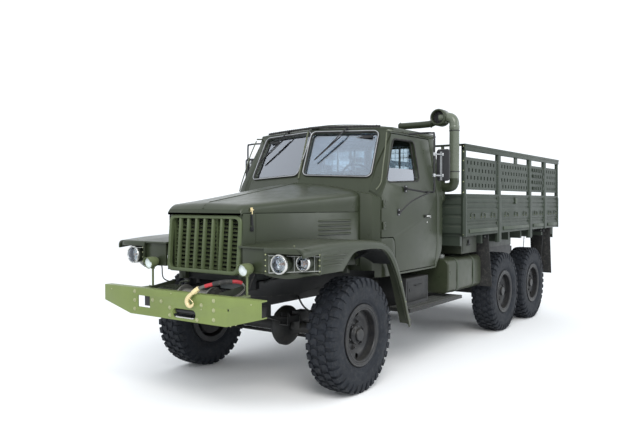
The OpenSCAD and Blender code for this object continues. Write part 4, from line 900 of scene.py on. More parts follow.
def build_bonnet():
    xs = [BON_FRONT, 1.004, 0.995, 0.983, 0.968, 0.950, 0.925, 0.85] + [0.75 - 0.1 * i
                                                                        for i in range(12)] + [BON_REAR]
    outer = Shape().loft([bonnet_line(x) for x in xs])
    inner = Shape().loft([bonnet_line(x, 0.020, 0.022, 1.70)
                          for x in (0.985, 0.95, 0.85, 0.5, 0.1, -0.3, -0.60)])
    obj = raw_object("bonnet_skin", outer)
    cut(obj, [inner])
    soften(obj, 0.005, 2, 35)
    settle(obj, "bonnet", olive, ("bonnet",), 40)

    s = Shape()
    for x in (0.60, 0.05):
        line = bonnet_line(x, 0.024, 0.026)[4:-4]
        s.loft([[(x - 0.02, y, z) for _, y, z in line] + [(x - 0.02, y, z - 0.025) for _, y,
                                                          z in reversed(line)],
                [(x + 0.02, y, z) for _, y, z in line] + [(x + 0.02, y, z - 0.025) for _, y,
                                                          z in reversed(line)]])
    for y in (-0.28, 0.28):
        s.loft([[(x, y - 0.02, bonnet_line(x)[9][2] - 0.04), (x, y + 0.02, bonnet_line(x)[9][2] - 0.04),
                 (x, y + 0.02, bonnet_line(x)[9][2] - 0.065), (x, y - 0.02, bonnet_line(x)[9][2] - 0.065)]
                for x in (0.90, 0.5, 0.1, -0.40)])
    piece("bonnet_frames", s, "bonnet", olive_dark, bevel=0.002)

    s = Shape()
    top = [(x, 0.0, (bonnet_line(x)[13][2] + 0.0015)) for x in [0.985 - 0.0715 * i for i in range(21)]]
    s.tube([(x, y, z) for x, y, z in top], 0.0045, 8)
    s.rod((0.9905, 0.0, 1.795), (0.9905 + 0.022, 0.0, 1.793), 0.006, 10)
    piece("bonnet_ridge", s, "bonnet", olive)

    # toggle latches on the sides
    s = Shape()
    for side in (-1, 1):
        y = side * (bonnet_half(0.90) + 0.004)
        s.box((0.888, y, 1.762), (0.914, y + side * 0.008, 1.800))
        s.rod((0.880, y + side * 0.012, 1.778), (0.922, y + side * 0.012, 1.778), 0.0055, 12, chamfer=0.001)
        s.rod((0.901, y + side * 0.012, 1.795), (0.901, y + side * 0.012, 1.740), 0.0045, 10)
    piece("latch_hooks", s, "bonnet", hook_brass, bevel=0.001, segments=1)
    s = Shape()
    for side in (-1, 1):
        y = side * (bonnet_half(0.90) + 0.001)
        s.box((0.889, y, 1.640), (0.909, y + side * 0.006, 1.735))
        s.tube([(0.899, y + side * 0.014, 1.735), (0.899, y + side * 0.018, 1.66),
                (0.897, y + side * 0.026, 1.605),
                (0.896, y + side * 0.020, 1.585)], 0.0055, 10)
        s.box((0.880, y, 1.585), (0.914, y + side * 0.010, 1.625))
        for z in (1.594, 1.616):
            s.rivet((0.888, y + side * 0.010, z), (0, side, 0), 0.004)
    piece("latch_handles", s, "chassis", chassis_black, bevel=0.0015)


def build_sides():
    from_node("side_panels", "engine_sides", olive, bevel=0.003)
    s = Shape()
    along = Vector((BON_REAR - BON_FRONT, 0.812 - 0.478, 0)).normalized()
    out = Vector((abs(along.y), abs(along.x), 0))

    def at(x, lift, z):
        return (x + out.x * lift, bonnet_half(x) + out.y * lift, z)

    for k in range(4):
        z = 1.662 - k * 0.0445
        rings = []
        for x, f in ((0.105, 0.05), (0.092, 0.7), (0.070, 1.0), (-0.310, 1.0), (-0.332, 0.7),
                     (-0.345, 0.05)):
            rings.append([at(x, -0.002, z + 0.012), at(x, 0.008 * f, z + 0.009),
                          at(x, 0.015 * f, z + 0.001),
                          at(x, 0.016 * f, z - 0.006), at(x, 0.013 * f, z - 0.007),
                          at(x, -0.002, z - 0.002)])
        s.loft(rings)
    s.rod(at(0.845, 0.001, 1.205), at(0.845, 0.001, 1.742), 0.0045, 10)
    s.mirrored()
    piece("side_louvres", s, "chassis", olive, sharp=25)
    # dark strips just under each louvre: painted shade standing for the dark opening beneath the louvre lip
    s = Shape()
    for k in range(4):
        z = 1.662 - k * 0.0445
        s.loft([[at(x, 0.0008, z - 0.003), at(x, 0.0008, z - 0.012), at(x, -0.004, z - 0.012),
                 at(x, -0.004, z - 0.003)]
                for x in (0.085, -0.325)])
    s.mirrored()
    piece("louvre_painted_shade", s, "chassis", chassis_black)
    s = Shape()
    for x, z in ((0.83, 1.24), (0.83, 1.42), (0.83, 1.60), (-0.43, 1.56), (-0.43, 1.66), (-0.43, 1.72)):
        s.rivet(at(x, 0.0, z), out, 0.005)
    s.mirrored()
    piece("side_rivets", s, "chassis", olive)


build_grille()
build_bonnet()
build_sides()


# ---------------------------------------------------------------- fenders and lamps

FENDER_OUT, CAB_HALF = 1.200, 1.040
LIP_X, LIP_Z, LAMP_LOW = 1.040, 1.457, 1.222
HOOD_REACH = 0.034
PANEL_IN, PANEL_OUT = Vector((1.050, 0.790, 0)), Vector((0.790, 1.190, 0))


def fender_line():
    """The fender's upper edge in X and Z, from its front lip to its foot."""
    flat = smooth_line([(LIP_X, 0, LIP_Z), (0.70, 0, 1.484), (0.30, 0, 1.497), (0.0, 0, 1.485),
                        (-0.25, 0, 1.466)], 5)
    drop = curve((-0.25, 1.466), (-0.52, 1.440), (-0.64, 1.270), (-0.82, 0.820), 22)
    return [(p.x, p.z) for p in flat[:-1]] + drop + [(-0.878, 0.680), (-0.935, 0.545)]


def outward(line):
    """At each point of a line in X and Z, the unit vector square to it, on its upper side."""
    out = []
    for i in range(len(line)):
        a, b = line[max(0, i - 1)], line[min(len(line) - 1, i + 1)]
        d = Vector((b[0] - a[0], b[1] - a[1])).normalized()
        out.append(Vector((d.y, -d.x)) if d.x > 0 else Vector((-d.y, d.x)) * -1)
    return out


def fender_inner(x):
    return bonnet_half(x) + 0.001 if x > BON_REAR else CAB_HALF + 0.007


def build_fender():
    line = fender_line()
    normals = [Vector((-n.x, -n.y)) if n.y < -0.001 else n for n in outward(line)]
    roll, t = 0.062, 0.016
    rings = []
    for (x, z), n in zip(line, normals):
        inner = fender_inner(x)
        cross = [(inner, 0.0), (FENDER_OUT - roll - 0.05, 0.0)]
        for a in range(0, 91, 10):
            r = math.radians(a)
            cross.append((FENDER_OUT - roll + roll * math.sin(r), -roll + roll * math.cos(r)))
        cross.append((FENDER_OUT, -roll - 0.018))
        cross.append((FENDER_OUT - t, -roll - 0.018))
        for a in range(90, -1, -15):
            r = math.radians(a)
            cross.append((FENDER_OUT - roll + (roll - t) * math.sin(r), -roll + (roll - t) * math.cos(r)))
        cross.append((inner, -t))
        rings.append([(x + n.x * h, y, z + n.y * h) for y, h in cross])
    shell = Shape().loft(rings)

    # the flat skirt between the lamps and the wheel arch, and its pressed ribs
    under = [(x - n.x * 0.055, z - n.y * 0.055) for (x, z), n in zip(line, normals)]
    arch = [(0.440, 1.225)] + curve((0.300, 1.350), (0.240, 1.402), (0.160, 1.404), (0.0, 1.404), 8)
    arch += curve((-0.200, 1.404), (-0.430, 1.390), (-0.560, 1.200), (-0.745, 0.820),
                  16) + [(-0.865, 0.545)]
    skirt = [p for p in under if p[0] < 0.80] + list(reversed(arch)) + [(0.780, LAMP_LOW), (0.780, 1.40)]
    shell.prism(skirt, FENDER_OUT - 0.020, FENDER_OUT - 0.002)
    rim = [(arch[i][0], FENDER_OUT - 0.010, arch[i][1]) for i in range(len(arch))]
    shell.tube(rim, 0.0095, 10)
    shell.tube([(x, FENDER_OUT - 0.020 - 0.012, z) for x, z in arch], 0.006, 8)

    # front lip, lamp panel, its chin and inner wall
    lip = []
    for x, z in ((1.0300, 1.4590), (1.0400, 1.4550), (1.0480, 1.4440), (1.0520, 1.4250), (1.0500, 1.4080),
                 (1.0400, 1.4050), (1.0380, 1.4250), (1.0300, 1.4400)):
        lip.append((x, z))
    corner = [(0.780, 0.0), (1.090, 0.0), (1.130, -0.010), (1.160, -0.032), (1.184, -0.066),
              (1.195, -0.110)]
    shell.loft([[(x + dx, y, z) for x, z in lip] for y, dx in corner])
    a, b = PANEL_IN, PANEL_OUT
    shell.prism([(a.x, a.y), (b.x - 0.012, b.y - 0.012), (b.x - 0.030, b.y - 0.012),
                 (a.x - 0.022, a.y - 0.004)],
                LAMP_LOW + 0.004, LIP_Z - 0.014, "xy")
    chin = []
    for k in range(9):
        t0 = k / 8
        p = a.lerp(b, t0)
        dip = 0.030 * math.sin(math.pi * min(1, t0 * 1.25)) ** 0.8 if t0 < 0.8 else 0
        chin.append([(p.x, p.y, LAMP_LOW + 0.012), (p.x + 0.006, p.y, LAMP_LOW - dip * 0.3),
                     (p.x - 0.030, p.y - 0.012, LAMP_LOW - 0.012 - dip),
                     (p.x - 0.050, p.y - 0.020, LAMP_LOW - 0.004 - dip),
                     (p.x - 0.020, p.y - 0.008, LAMP_LOW + 0.012)])
    shell.loft(chin)
    shell.rod((b.x - 0.010, b.y - 0.008, LAMP_LOW), (b.x - 0.010, b.y - 0.008, LIP_Z - 0.02), 0.018, 20)
    shell.box((0.560, 0.560, LAMP_LOW), (1.030, 0.794, LAMP_LOW + 0.010))
    shell.box((0.994, 0.502, LAMP_LOW), (1.016, 0.798, LIP_Z - 0.006))
    shell.box((0.560, 0.560, LAMP_LOW), (0.570, 0.794, LIP_Z))

    ribs = Shape()
    for k, z in enumerate((1.292, 1.334, 1.376)):
        x0, x1 = 0.755, 0.455 - k * 0.050
        pts = [(x0 - 0.006, FENDER_OUT - 0.004, z), (x0 - 0.02, FENDER_OUT + 0.0005, z),
               (x1 + 0.02, FENDER_OUT + 0.0005, z),
               (x1 + 0.006, FENDER_OUT - 0.004, z)]
        ribs.tube(pts, [0.003, 0.0075, 0.0075, 0.003], 10)
    studs = Shape()
    for z in (1.252, 1.300, 1.348, 1.396):
        studs.rivet((0.798, FENDER_OUT - 0.006, z), (0.6, 0.8, 0), 0.0075)
        studs.rivet((1.052, 0.800, z), (1, 0.6, 0), 0.0065)
    for x in (0.93, 0.72, 0.50):
        studs.rivet((x, 1.02, fender_line()[2][1] + 0.004), (0, 0, 1), 0.006)
    for x, z in ((-0.62, 1.02), (-0.72, 0.80), (-0.82, 0.60)):
        studs.rivet((x - 0.05, FENDER_OUT - 0.001, z), (0, 1, 0), 0.006)
    for word, side in (("left", 1), ("right", -1)):
        turn = (lambda q: q) if side > 0 else other_side
        piece(f"fender_{word}_shell", turn(shell), "chassis", olive, replaces=(f"fender_{word}",),
              bevel=0.0022, sharp=30)
        piece(f"fender_{word}_ribs", turn(ribs), "chassis", olive)
        piece(f"fender_{word}_studs", turn(studs), "chassis", bolt_green)
    # liner and stays inside the wheel arch
    s = Shape()
    liner = [(0.50, 1.30)] + [(x * 0.97, z - 0.03) for x, z in under if -0.60 < x < 0.40]
    s.loft([[(x, y, z) for y, z in ((0.66, z0), (1.16, z0), (1.16, z0 + 0.004), (0.66, z0 + 0.004))]
            for x, z0 in [(p[0], p[1]) for p in liner if p[1] > 1.2]])
    for x in (0.62, 0.10, -0.40):
        s.rod((x, 0.43, 1.09), (x, 1.10, 1.40), 0.012, 12)
    s.mirrored()
    piece("arch_liners", s, "chassis", chassis_black)


def build_lamps():
    rings, bowls, glasses, buckets, bulbs = Shape(), Shape(), Shape(), Shape(), Shape()
    axis = Vector((1, 0, 0))
    for (x, y, z), r in (((1.062, 0.948, 1.318), 0.088), ((0.935, 1.108, 1.326), 0.070)):
        for sy in (1, -1):
            at = Vector((x, y * sy, z))
            buckets.lathe([(r * 0.55, -0.150), (r * 0.80, -0.120), (r * 0.97, -0.055), (r * 0.98, -0.022),
                           (r * 0.90, -0.020), (r * 0.88, -0.050), (r * 0.5, -0.135)], at, axis, 48)
            rings.lathe([(r * 0.80, -0.024), (r * 0.99, -0.024), (r, -0.016), (r * 0.985, -0.006),
                         (r * 0.93, 0.000),
                         (r * 0.86, -0.002), (r * 0.83, -0.008)], at, axis, 56)
            bowls.lathe([(r * 0.02, -0.075), (r * 0.25, -0.072), (r * 0.50, -0.060), (r * 0.70, -0.040),
                         (r * 0.845, -0.012), (r * 0.86, -0.014), (r * 0.71, -0.044), (r * 0.5, -0.066),
                         (r * 0.02, -0.080)], at, axis, 56)
            glasses.lathe([(r * 0.001, 0.012), (r * 0.30, 0.0105), (r * 0.60, 0.005), (r * 0.84, -0.006),
                           (r * 0.84, -0.010), (r * 0.60, 0.001), (r * 0.30, 0.0065), (r * 0.001, 0.008)],
                          at, axis, 56)
            for k in range(-4, 5):
                w = k * r * 0.17
                h = math.sqrt(max(0, (r * 0.80) ** 2 - w * w))
                glasses.box((x - 0.001 - 0.02 * (w / r) ** 2, y * sy + w - 0.0022, z - h * 0.92),
                            (x + 0.006 - 0.02 * (w / r) ** 2, y * sy + w + 0.0022, z + h * 0.92))
            bulbs.rod(at - axis * 0.075, at - axis * 0.030, 0.011 if r > 0.08 else 0.016, 16, chamfer=0.003)
            for k in range(3):
                a = math.radians(120 * k + 30)
                rings.rod(at + Vector((-0.005, r * 0.93 * math.cos(a), r * 0.93 * math.sin(a))),
                          at + Vector((0.004, r * 0.93 * math.cos(a), r * 0.93 * math.sin(a))), 0.004, 10)
    piece("lamp_buckets", buckets, "chassis", olive_dark, replaces=("lamps",))
    piece("lamp_rings", rings, "chassis", bright_steel)
    piece("lamp_reflectors", bowls, "chassis", mirror_chrome)
    piece("lamp_lenses", glasses, "chassis", lamp_glass, sharp=60)
    piece("lamp_bulbs", bulbs, "chassis", amber)

    # wire guards over each pair
    s = Shape()
    n = Vector((0.838, 0.545, 0))
    a, b = PANEL_IN.lerp(PANEL_OUT, 0.10) + n * 0.085, PANEL_IN.lerp(PANEL_OUT, 1.0) + n * 0.030
    lift = Vector((0, 0, 1))
    low, high = 1.245, 1.392
    frame_pts = []
    for p, z in ((a, low), (b, low + 0.012), (b, high - 0.012), (a, high)):
        frame_pts.append(p + lift * z)
    s.tube(smooth_line(frame_pts + frame_pts[:1], 1), 0.0038, 8)
    for t in (0.24, 0.50, 0.66, 0.90):
        p = a.lerp(b, t)
        s.rod(p + lift * (low + 0.003), p + lift * (high - 0.003), 0.0034, 8)
    for t, z in ((0.0, low), (0.0, high), (1.0, low + 0.012), (1.0, high - 0.012)):
        p = a.lerp(b, t)
        q = PANEL_IN.lerp(PANEL_OUT, 0.06 if t == 0 else 0.985)
        s.rod(p + lift * z, Vector((q.x, q.y, z)), 0.0038, 8)
    s.mirrored()
    piece("lamp_guards", s, "chassis", guard_steel)

    # bullet lamps on their stalks
    shells, hoods, lenses = Shape(), Shape(), Shape()
    for sy in (1, -1):
        at = Vector((1.140, 0.615 * sy, 1.255))
        tilt = Vector((1, 0, -0.10)).normalized()
        shells.lathe([(0.001, -0.125), (0.018, -0.122), (0.034, -0.112), (0.047, -0.092), (0.054, -0.060),
                      (0.056, -0.025), (0.056, 0.002), (0.052, 0.004), (0.052, -0.012), (0.001, -0.030)],
                     at, tilt, 40)
        arc = []
        for k in range(13):
            q = math.radians(15 + 150 * k / 12)
            arc.append((math.cos(q), math.sin(q)))
        edges = []
        for r, dx in ((0.0575, -0.010), (0.0600, HOOD_REACH), (0.0575, HOOD_REACH), (0.0550, -0.010)):
            edges.append([(at.x + dx * (0.5 + 0.5 * abs(sv)), at.y + r * cv, at.z + r * sv - 0.004)
                          for cv, sv in arc])
        hoods.loft([list(section) for section in zip(*edges)])
        lenses.lathe([(0.001, 0.006), (0.025, 0.004), (0.050, -0.004), (0.050, -0.008), (0.001, 0.000)], at,
                     tilt, 36)
        shells.rod(at - Vector((0.058, 0, 0.050)), at - Vector((0.058, 0, 0.225)), 0.011, 14)
        shells.rod(at - Vector((0.058, 0, 0.060)), at - Vector((0.058, 0, 0.046)), 0.020, 16, chamfer=0.003)
        shells.box((at.x - 0.080, at.y - 0.020, 1.013), (1.283, at.y + 0.020, 1.031))
        shells.bolt((at.x - 0.020, at.y, 1.031), (0, 0, 1), 0.008, 0.006)
    piece("marker_shells", shells, "chassis", marker_green, sharp=40)
    piece("marker_hoods", hoods, "chassis", marker_green, bevel=0.0006, segments=1)
    piece("marker_lenses", lenses, "chassis", frosted)
    s = Shape()
    for sy in (1, -1):
        at = Vector((1.140, 0.615 * sy, 1.255))
        s.tube(smooth_line([at + Vector((-0.118, 0, 0.010)), at + Vector((-0.150, 0, 0.005)),
                            at + Vector((-0.165, -0.01 * sy, -0.05)),
                            at + Vector((-0.15, -0.05 * sy, -0.16)),
                            at + Vector((-0.22, -0.12 * sy, -0.20)),
                            (0.86, 0.42 * sy, 1.06)], 5), 0.006, 8)
    piece("marker_leads", s, "chassis", rubber_black)

    # rear lamps
    s, lens = Shape(), Shape()
    for sy in (1, -1):
        s.box((-6.290, 0.974 * sy, 1.250), (-6.260, 1.126 * sy, 1.365))
        s.box((-6.262, 0.984 * sy, 1.258), (-6.240, 1.116 * sy, 1.357))
        for y, r in ((1.012, 0.029), (1.085, 0.029)):
            lens.lathe([(0.001, 0.010), (r * 0.6, 0.008), (r, 0.001), (r, -0.004), (0.001, -0.004)],
                       (-6.290, y * sy, 1.308), (-1, 0, 0), 28)
    piece("rear_lamp_boxes", s, "chassis", rubber_black, bevel=0.004)
    piece("rear_lamp_lenses", lens, "chassis", red_lens)


mirror_chrome = paint("mirror_chrome", (0.90, 0.90, 0.90), rough=0.12, metal=1.0, vary=0.02, dust=0.0,
                      dirt=0.0,
                      coat=0, orange=0.02, fine=0.02)
guard_steel = paint("guard_steel", (0.22, 0.23, 0.22), rough=0.35, metal=0.6, dust=0.05)
marker_green = paint("marker_green", (0.115, 0.140, 0.068), rough=0.38)
amber = rubber("amber", (0.75, 0.32, 0.10), rough=0.25, ribs=0.05, grime=0.05)
frosted = rubber("frosted", (0.55, 0.60, 0.60), rough=0.25, ribs=0.1, grime=0.1)
red_lens = rubber("red_lens", (0.42, 0.015, 0.012), rough=0.2, ribs=0.15, grime=0.1)
build_fender()
build_lamps()


# ---------------------------------------------------------------- cab

SCREEN_FOOT = Vector((-0.465, 0.0, 2.064))
SWEEP, RAKE = math.radians(11.7), math.atan2(0.304, 0.627)
PANE = [(0.105, 0.150), (0.795, 0.122), (0.805, 0.570), (0.112, 0.590)]
PANE_R = 0.050


def on_screen(side, py, pz, out=0.0):
    """A point of a windscreen pane's plane, out ahead of the glass."""
    turn = Matrix.Rotation(side * SWEEP, 3, "Z") @ Matrix.Rotation(-RAKE, 3, "Y")
    return SCREEN_FOOT + turn @ Vector((out, side * py, pz))


def pane_outline(grow, steps=6):
    """Points round a pane, grown outwards."""
    out = []
    for i, p in enumerate(PANE):
        before, after = PANE[i - 1], PANE[(i + 1) % 4]
        a0 = math.atan2(-(p[0] - before[0]), p[1] - before[1])
        a1 = math.atan2(-(after[0] - p[0]), after[1] - p[1])
        while a1 < a0:
            a1 += 2 * math.pi
        for k in range(steps + 1):
            a = a0 + (a1 - a0) * k / steps
            out.append((p[0] + (PANE_R + grow) * math.cos(a), p[1] + (PANE_R + grow) * math.sin(a)))
    return out


def cab_side(x, z):
    """How far out the cab's side stands."""
    plan = [(-0.760, 1.040), (-0.600, 1.002), (-0.520, 0.930), (-0.460, 0.825)]
    y = 1.040
    for (a, ya), (b, yb) in zip(plan, plan[1:]):
        if a <= x <= b:
            y = ya + (yb - ya) * (x - a) / (b - a)
    return y - (0.124 * (z - 1.900) / 0.740 if z > 1.900 else 0.0)


def build_screens():
    trim, seal = Shape(), Shape()
    for side in (1, -1):
        seal.tube([on_screen(side, y, z, 0.004) for y, z in pane_outline(0.010)], 0.014, 10, closed=True)
        trim.tube([on_screen(side, y, z, 0.016) for y, z in pane_outline(0.013)], 0.0055, 8, closed=True)
        seal.tube([on_screen(side, y, z, -0.040) for y, z in pane_outline(0.006)], 0.010, 8, closed=True)
    piece("screen_seals", seal, "chassis", rubber_black)
    piece("screen_trims", trim, "chassis", trim_silver)

    # wipers
    arms, blades = Shape(), Shape()
    for side, pivot, knee, tip_a, tip_b in ((1, (0.484, 0.664), (0.408, 0.561), (0.426, 0.571),
                                             (0.157, 0.277)),
                                            (-1, (0.490, 0.685), (0.500, 0.640), (0.502, 0.604),
                                             (0.818, 0.290))):
        base = on_screen(side, pivot[0], pivot[1], 0.002)
        top = on_screen(side, pivot[0], pivot[1], 0.034)
        arms.rod(base, top, 0.020, 20, r2=0.015, chamfer=0.003)
        arms.rod(top, top + (top - base).normalized() * 0.010, 0.009, 6, chamfer=0.001)
        line = [top, on_screen(side, knee[0], knee[1], 0.044),
                on_screen(side, (tip_a[0] + tip_b[0]) / 2, (tip_a[1] + tip_b[1]) / 2, 0.034)]
        soft = smooth_line(line, 8)
        arms.tube(soft, [0.0085 - 0.004 * k / len(soft) for k in range(len(soft))], 8)
        a, b = on_screen(side, *tip_a, 0.020), on_screen(side, *tip_b, 0.020)
        up = on_screen(side, *tip_a, 0.030) - a
        arms.tube(smooth_line([a + up * 0.3, a.lerp(b, 0.2) + up * 0.9, a.lerp(b, 0.5) + up * 1.5,
                               a.lerp(b, 0.8) + up * 0.9, b + up * 0.3], 5), 0.0040, 8)
        for t in (0.05, 0.35, 0.65, 0.95):
            arms.rod(a.lerp(b, t) - up * 0.1, a.lerp(b, t) + up * (1.2 if 0.2 < t < 0.8 else 0.5), 0.0045,
                     8)
        blades.tube([a, b], 0.0048, 6)
        blades.tube([a - up * 0.55, b - up * 0.55], 0.0036, 6)
    piece("wiper_arms", arms, "chassis", mirror_black)
    piece("wiper_blades", blades, "chassis", rubber_black)

    # seam between the panes, drip rails, the ribbed lip over the screens
    rails, lip = Shape(), Shape()
    rails.tube([on_screen(1, 0.0, z, 0.006) for z in (0.05, 0.35, 0.66)], 0.010, 10)
    for side in (1, -1):
        edge = [(-0.839, 0.946, 2.606), (-0.760, 0.962, 2.430), (-0.690, 0.976, 2.250),
                (-0.618, 0.984, 2.060),
                (-0.560, 0.998, 1.980)]
        rails.tube(smooth_line([(x, side * (cab_side(x, z) + 0.003), z) for x, y, z in edge], 4), 0.0068, 8)
        rail = [(-0.850, 2.628), (-1.050, 2.640), (-1.400, 2.642), (-1.750, 2.640), (-1.985, 2.630)]
        rails.tube(smooth_line([(x, side * (cab_side(x, z) + 0.006), z) for x, z in rail], 4), 0.0095, 8)
        line = [on_screen(side, y, 0.706 - 0.016 * (y / 0.86) ** 2, 0.012)
                for y in (0.0, 0.2, 0.4, 0.6, 0.8, 0.87)]
        lip.tube(line, 0.0115, 8)
        for k in range(22):
            y = 0.03 + k * 0.038
            p = on_screen(side, y, 0.706 - 0.016 * (y / 0.86) ** 2, 0.012)
            lip.rod(p - Vector((0.0, 0.007, 0)), p + Vector((0.0, 0.007, 0)), 0.0145, 10, chamfer=0.003)
    lip.rod((-0.800, -0.05, 2.706), (-0.800, 0.05, 2.706), 0.016, 16, chamfer=0.004)
    piece("cab_rails", rails, "chassis", trim_olive)
    piece("roof_lip", lip, "chassis", rubber_black)


DOOR_WINDOW = [(-0.700, 2.065), (-1.450, 2.095), (-1.450, 2.550), (-0.965, 2.540)]


def door_window_line(grow, steps=5, r=0.055):
    pts = []
    n = len(DOOR_WINDOW)
    cx, cz = -1.13, 2.31
    for i in range(n):
        p, a, b = (Vector(DOOR_WINDOW[j % n]) for j in (i, i - 1, i + 1))
        u, w = (a - p).normalized(), (b - p).normalized()
        start, end = p + u * r * 1.2, p + w * r * 1.2
        for k in range(steps + 1):
            t = k / steps
            pts.append(start * (1 - t) ** 2 + p * 2 * t * (1 - t) + end * t * t)
    out = []
    for p in pts:
        d = Vector((p[0] - cx, p[1] - cz))
        q = Vector(p) + d.normalized() * grow
        out.append((q[0], q[1]))
    return out


def build_doors():
    for word, side in (("left", 1), ("right", -1)):
        node = f"door_{word}"
        from_node(node + "_panel", node, olive, bevel=0.006, segments=3, angle=24)
        seal, metal, bolts = Shape(), Shape(), Shape()
        seal.tube([(x, side * (cab_side(x, z) + 0.001), z) for x, z in door_window_line(0.006)], 0.0085, 8,
                  closed=True)
        seal.tube([(x, side * (cab_side(x, z) - 0.042), z) for x, z in door_window_line(0.004)], 0.008, 8,
                  closed=True)
        # pull handle with its bright push button, and the hinges' leaves
        metal.tube(smooth_line([(-1.530, side * 1.043, 1.686), (-1.540, side * 1.062, 1.687),
                                (-1.580, side * 1.066, 1.688),
                                (-1.625, side * 1.062, 1.686), (-1.638, side * 1.043, 1.684)], 5), 0.0095,
                   12)
        seal.tube([(-1.508, side * 1.041, 1.686), (-1.655, side * 1.041, 1.686)], 0.018, 14)
        metal.rod((-1.636, side * 1.040, 1.678), (-1.636, side * 1.0655, 1.678), 0.011, 20, chamfer=0.003)
        metal.rod((-1.586, side * 1.0395, 1.616), (-1.586, side * 1.046, 1.616), 0.010, 18, chamfer=0.002)
        for z in (1.600, 1.830):
            bolts.box((-0.660, side * 1.012, z - 0.040), (-0.604, side * 1.0225, z + 0.040))
            for dx, dz in ((-0.018, 0.022), (-0.018, -0.022), (0.012, 0.0)):
                bolts.bolt((-0.634 + dx, side * 1.0225, z + dz), (0, side, 0), 0.006, 0.004, washer=False)
        piece(node + "_seals", seal, node, rubber_black)
        piece(node + "_handle", metal, node, bright_steel)
        piece(node + "_leaves", bolts, node, olive, bevel=0.0012)
        # inside trim, winder, armrest
        inner = Shape()
        inner.box((-1.760, side * 0.984, 1.300), (-0.700, side * 0.991, 1.880))
        inner.rod((-1.300, side * 0.990, 1.760), (-1.300, side * 0.955, 1.760), 0.020, 20, chamfer=0.003)
        inner.tube([(-1.300, side * 0.958, 1.760), (-1.200, side * 0.950, 1.700)], 0.007, 8)
        inner.rod((-1.200, side * 0.965, 1.700), (-1.200, side * 0.925, 1.700), 0.012, 14, chamfer=0.004)
        inner.box((-1.600, side * 0.935, 1.560), (-1.250, side * 0.990, 1.600))
        piece(node + "_trim", inner, node, interior_black, bevel=0.004)


def build_mirrors():
    """Side mirrors on bent tubes off the doors."""
    for word, side in (("left", 1), ("right", -1)):
        body, node = f"door_{word}", f"mirror_{word}"
        tubes, plate, glass, brackets = Shape(), Shape(), Shape(), Shape()
        y = side * 1.395
        plate.loft([[(-1.260 + dx, y + side * u * (1 - abs(dx) * 4), 2.255 + v * (1 - abs(dx) * 3))
                     for u, v in rounded_rect(0.156, 0.350, 0.030, 5)]
                    for dx in (-0.0145, 0.0, 0.010, 0.017)])
        glass.loft([[(-1.2752 + dx, y + side * u, 2.255 + v) for u,
                     v in rounded_rect(0.140, 0.332, 0.024, 5)]
                    for dx in (-0.0012, 0.001)])
        x, ty = -1.150, side * 1.340
        line = [(x + 0.030, side * 1.045, 2.600), (x, side * 1.200, 2.606), (x, ty - side * 0.03, 2.600),
                (x, ty, 2.570),
                (x, ty, 2.280), (x, ty, 1.990), (x, ty - side * 0.030, 1.960),
                (x - 0.050, side * 1.200, 1.962),
                (-1.060, side * 1.062, 1.995)]
        tubes.tube(smooth_line(line, 5), 0.0105, 12)
        tubes.tube(smooth_line([(x, ty - side * 0.04, 1.962), (-1.00, side * 1.150, 1.860),
                                (-0.900, side * 1.060, 1.740)], 5),
                   0.008, 10)
        for z in (2.140, 2.370):
            brackets.rod((x, ty, z - 0.018), (x, ty, z + 0.018), 0.0165, 16, chamfer=0.003)
            brackets.rod((x, ty, z), (-1.246, y, z), 0.008, 12)
            brackets.rod((-1.250, y, z - 0.016), (-1.250, y, z + 0.016), 0.014, 14, chamfer=0.003)
        brackets.box((-1.249, y - side * 0.030, 2.087), (-1.242, y - side * 0.006, 2.402))
        for at in ((-0.900, 1.040, 1.740), (-1.060, 1.040, 1.995)):
            tubes.rod((at[0], side * at[1], at[2]), (at[0], side * (at[1] + 0.024), at[2]), 0.018, 18,
                      chamfer=0.003)
            tubes.box((at[0] - 0.030, side * 1.0385, at[2] - 0.035),
                      (at[0] + 0.030, side * 1.0455, at[2] + 0.035))
            for dz in (-0.024, 0.024):
                brackets.bolt((at[0], side * 1.0455, at[2] + dz), (0, side, 0), 0.006, 0.004)
        piece(node + "_shell", plate, body, mirror_black, replaces=(node,), bevel=0.0015)
        piece(node + "_pane", glass, body, mirror_chrome)
        piece(node + "_tubes", tubes, body, mirror_black)
        piece(node + "_clamps", brackets, body, trim_silver, bevel=0.0008, segments=1)


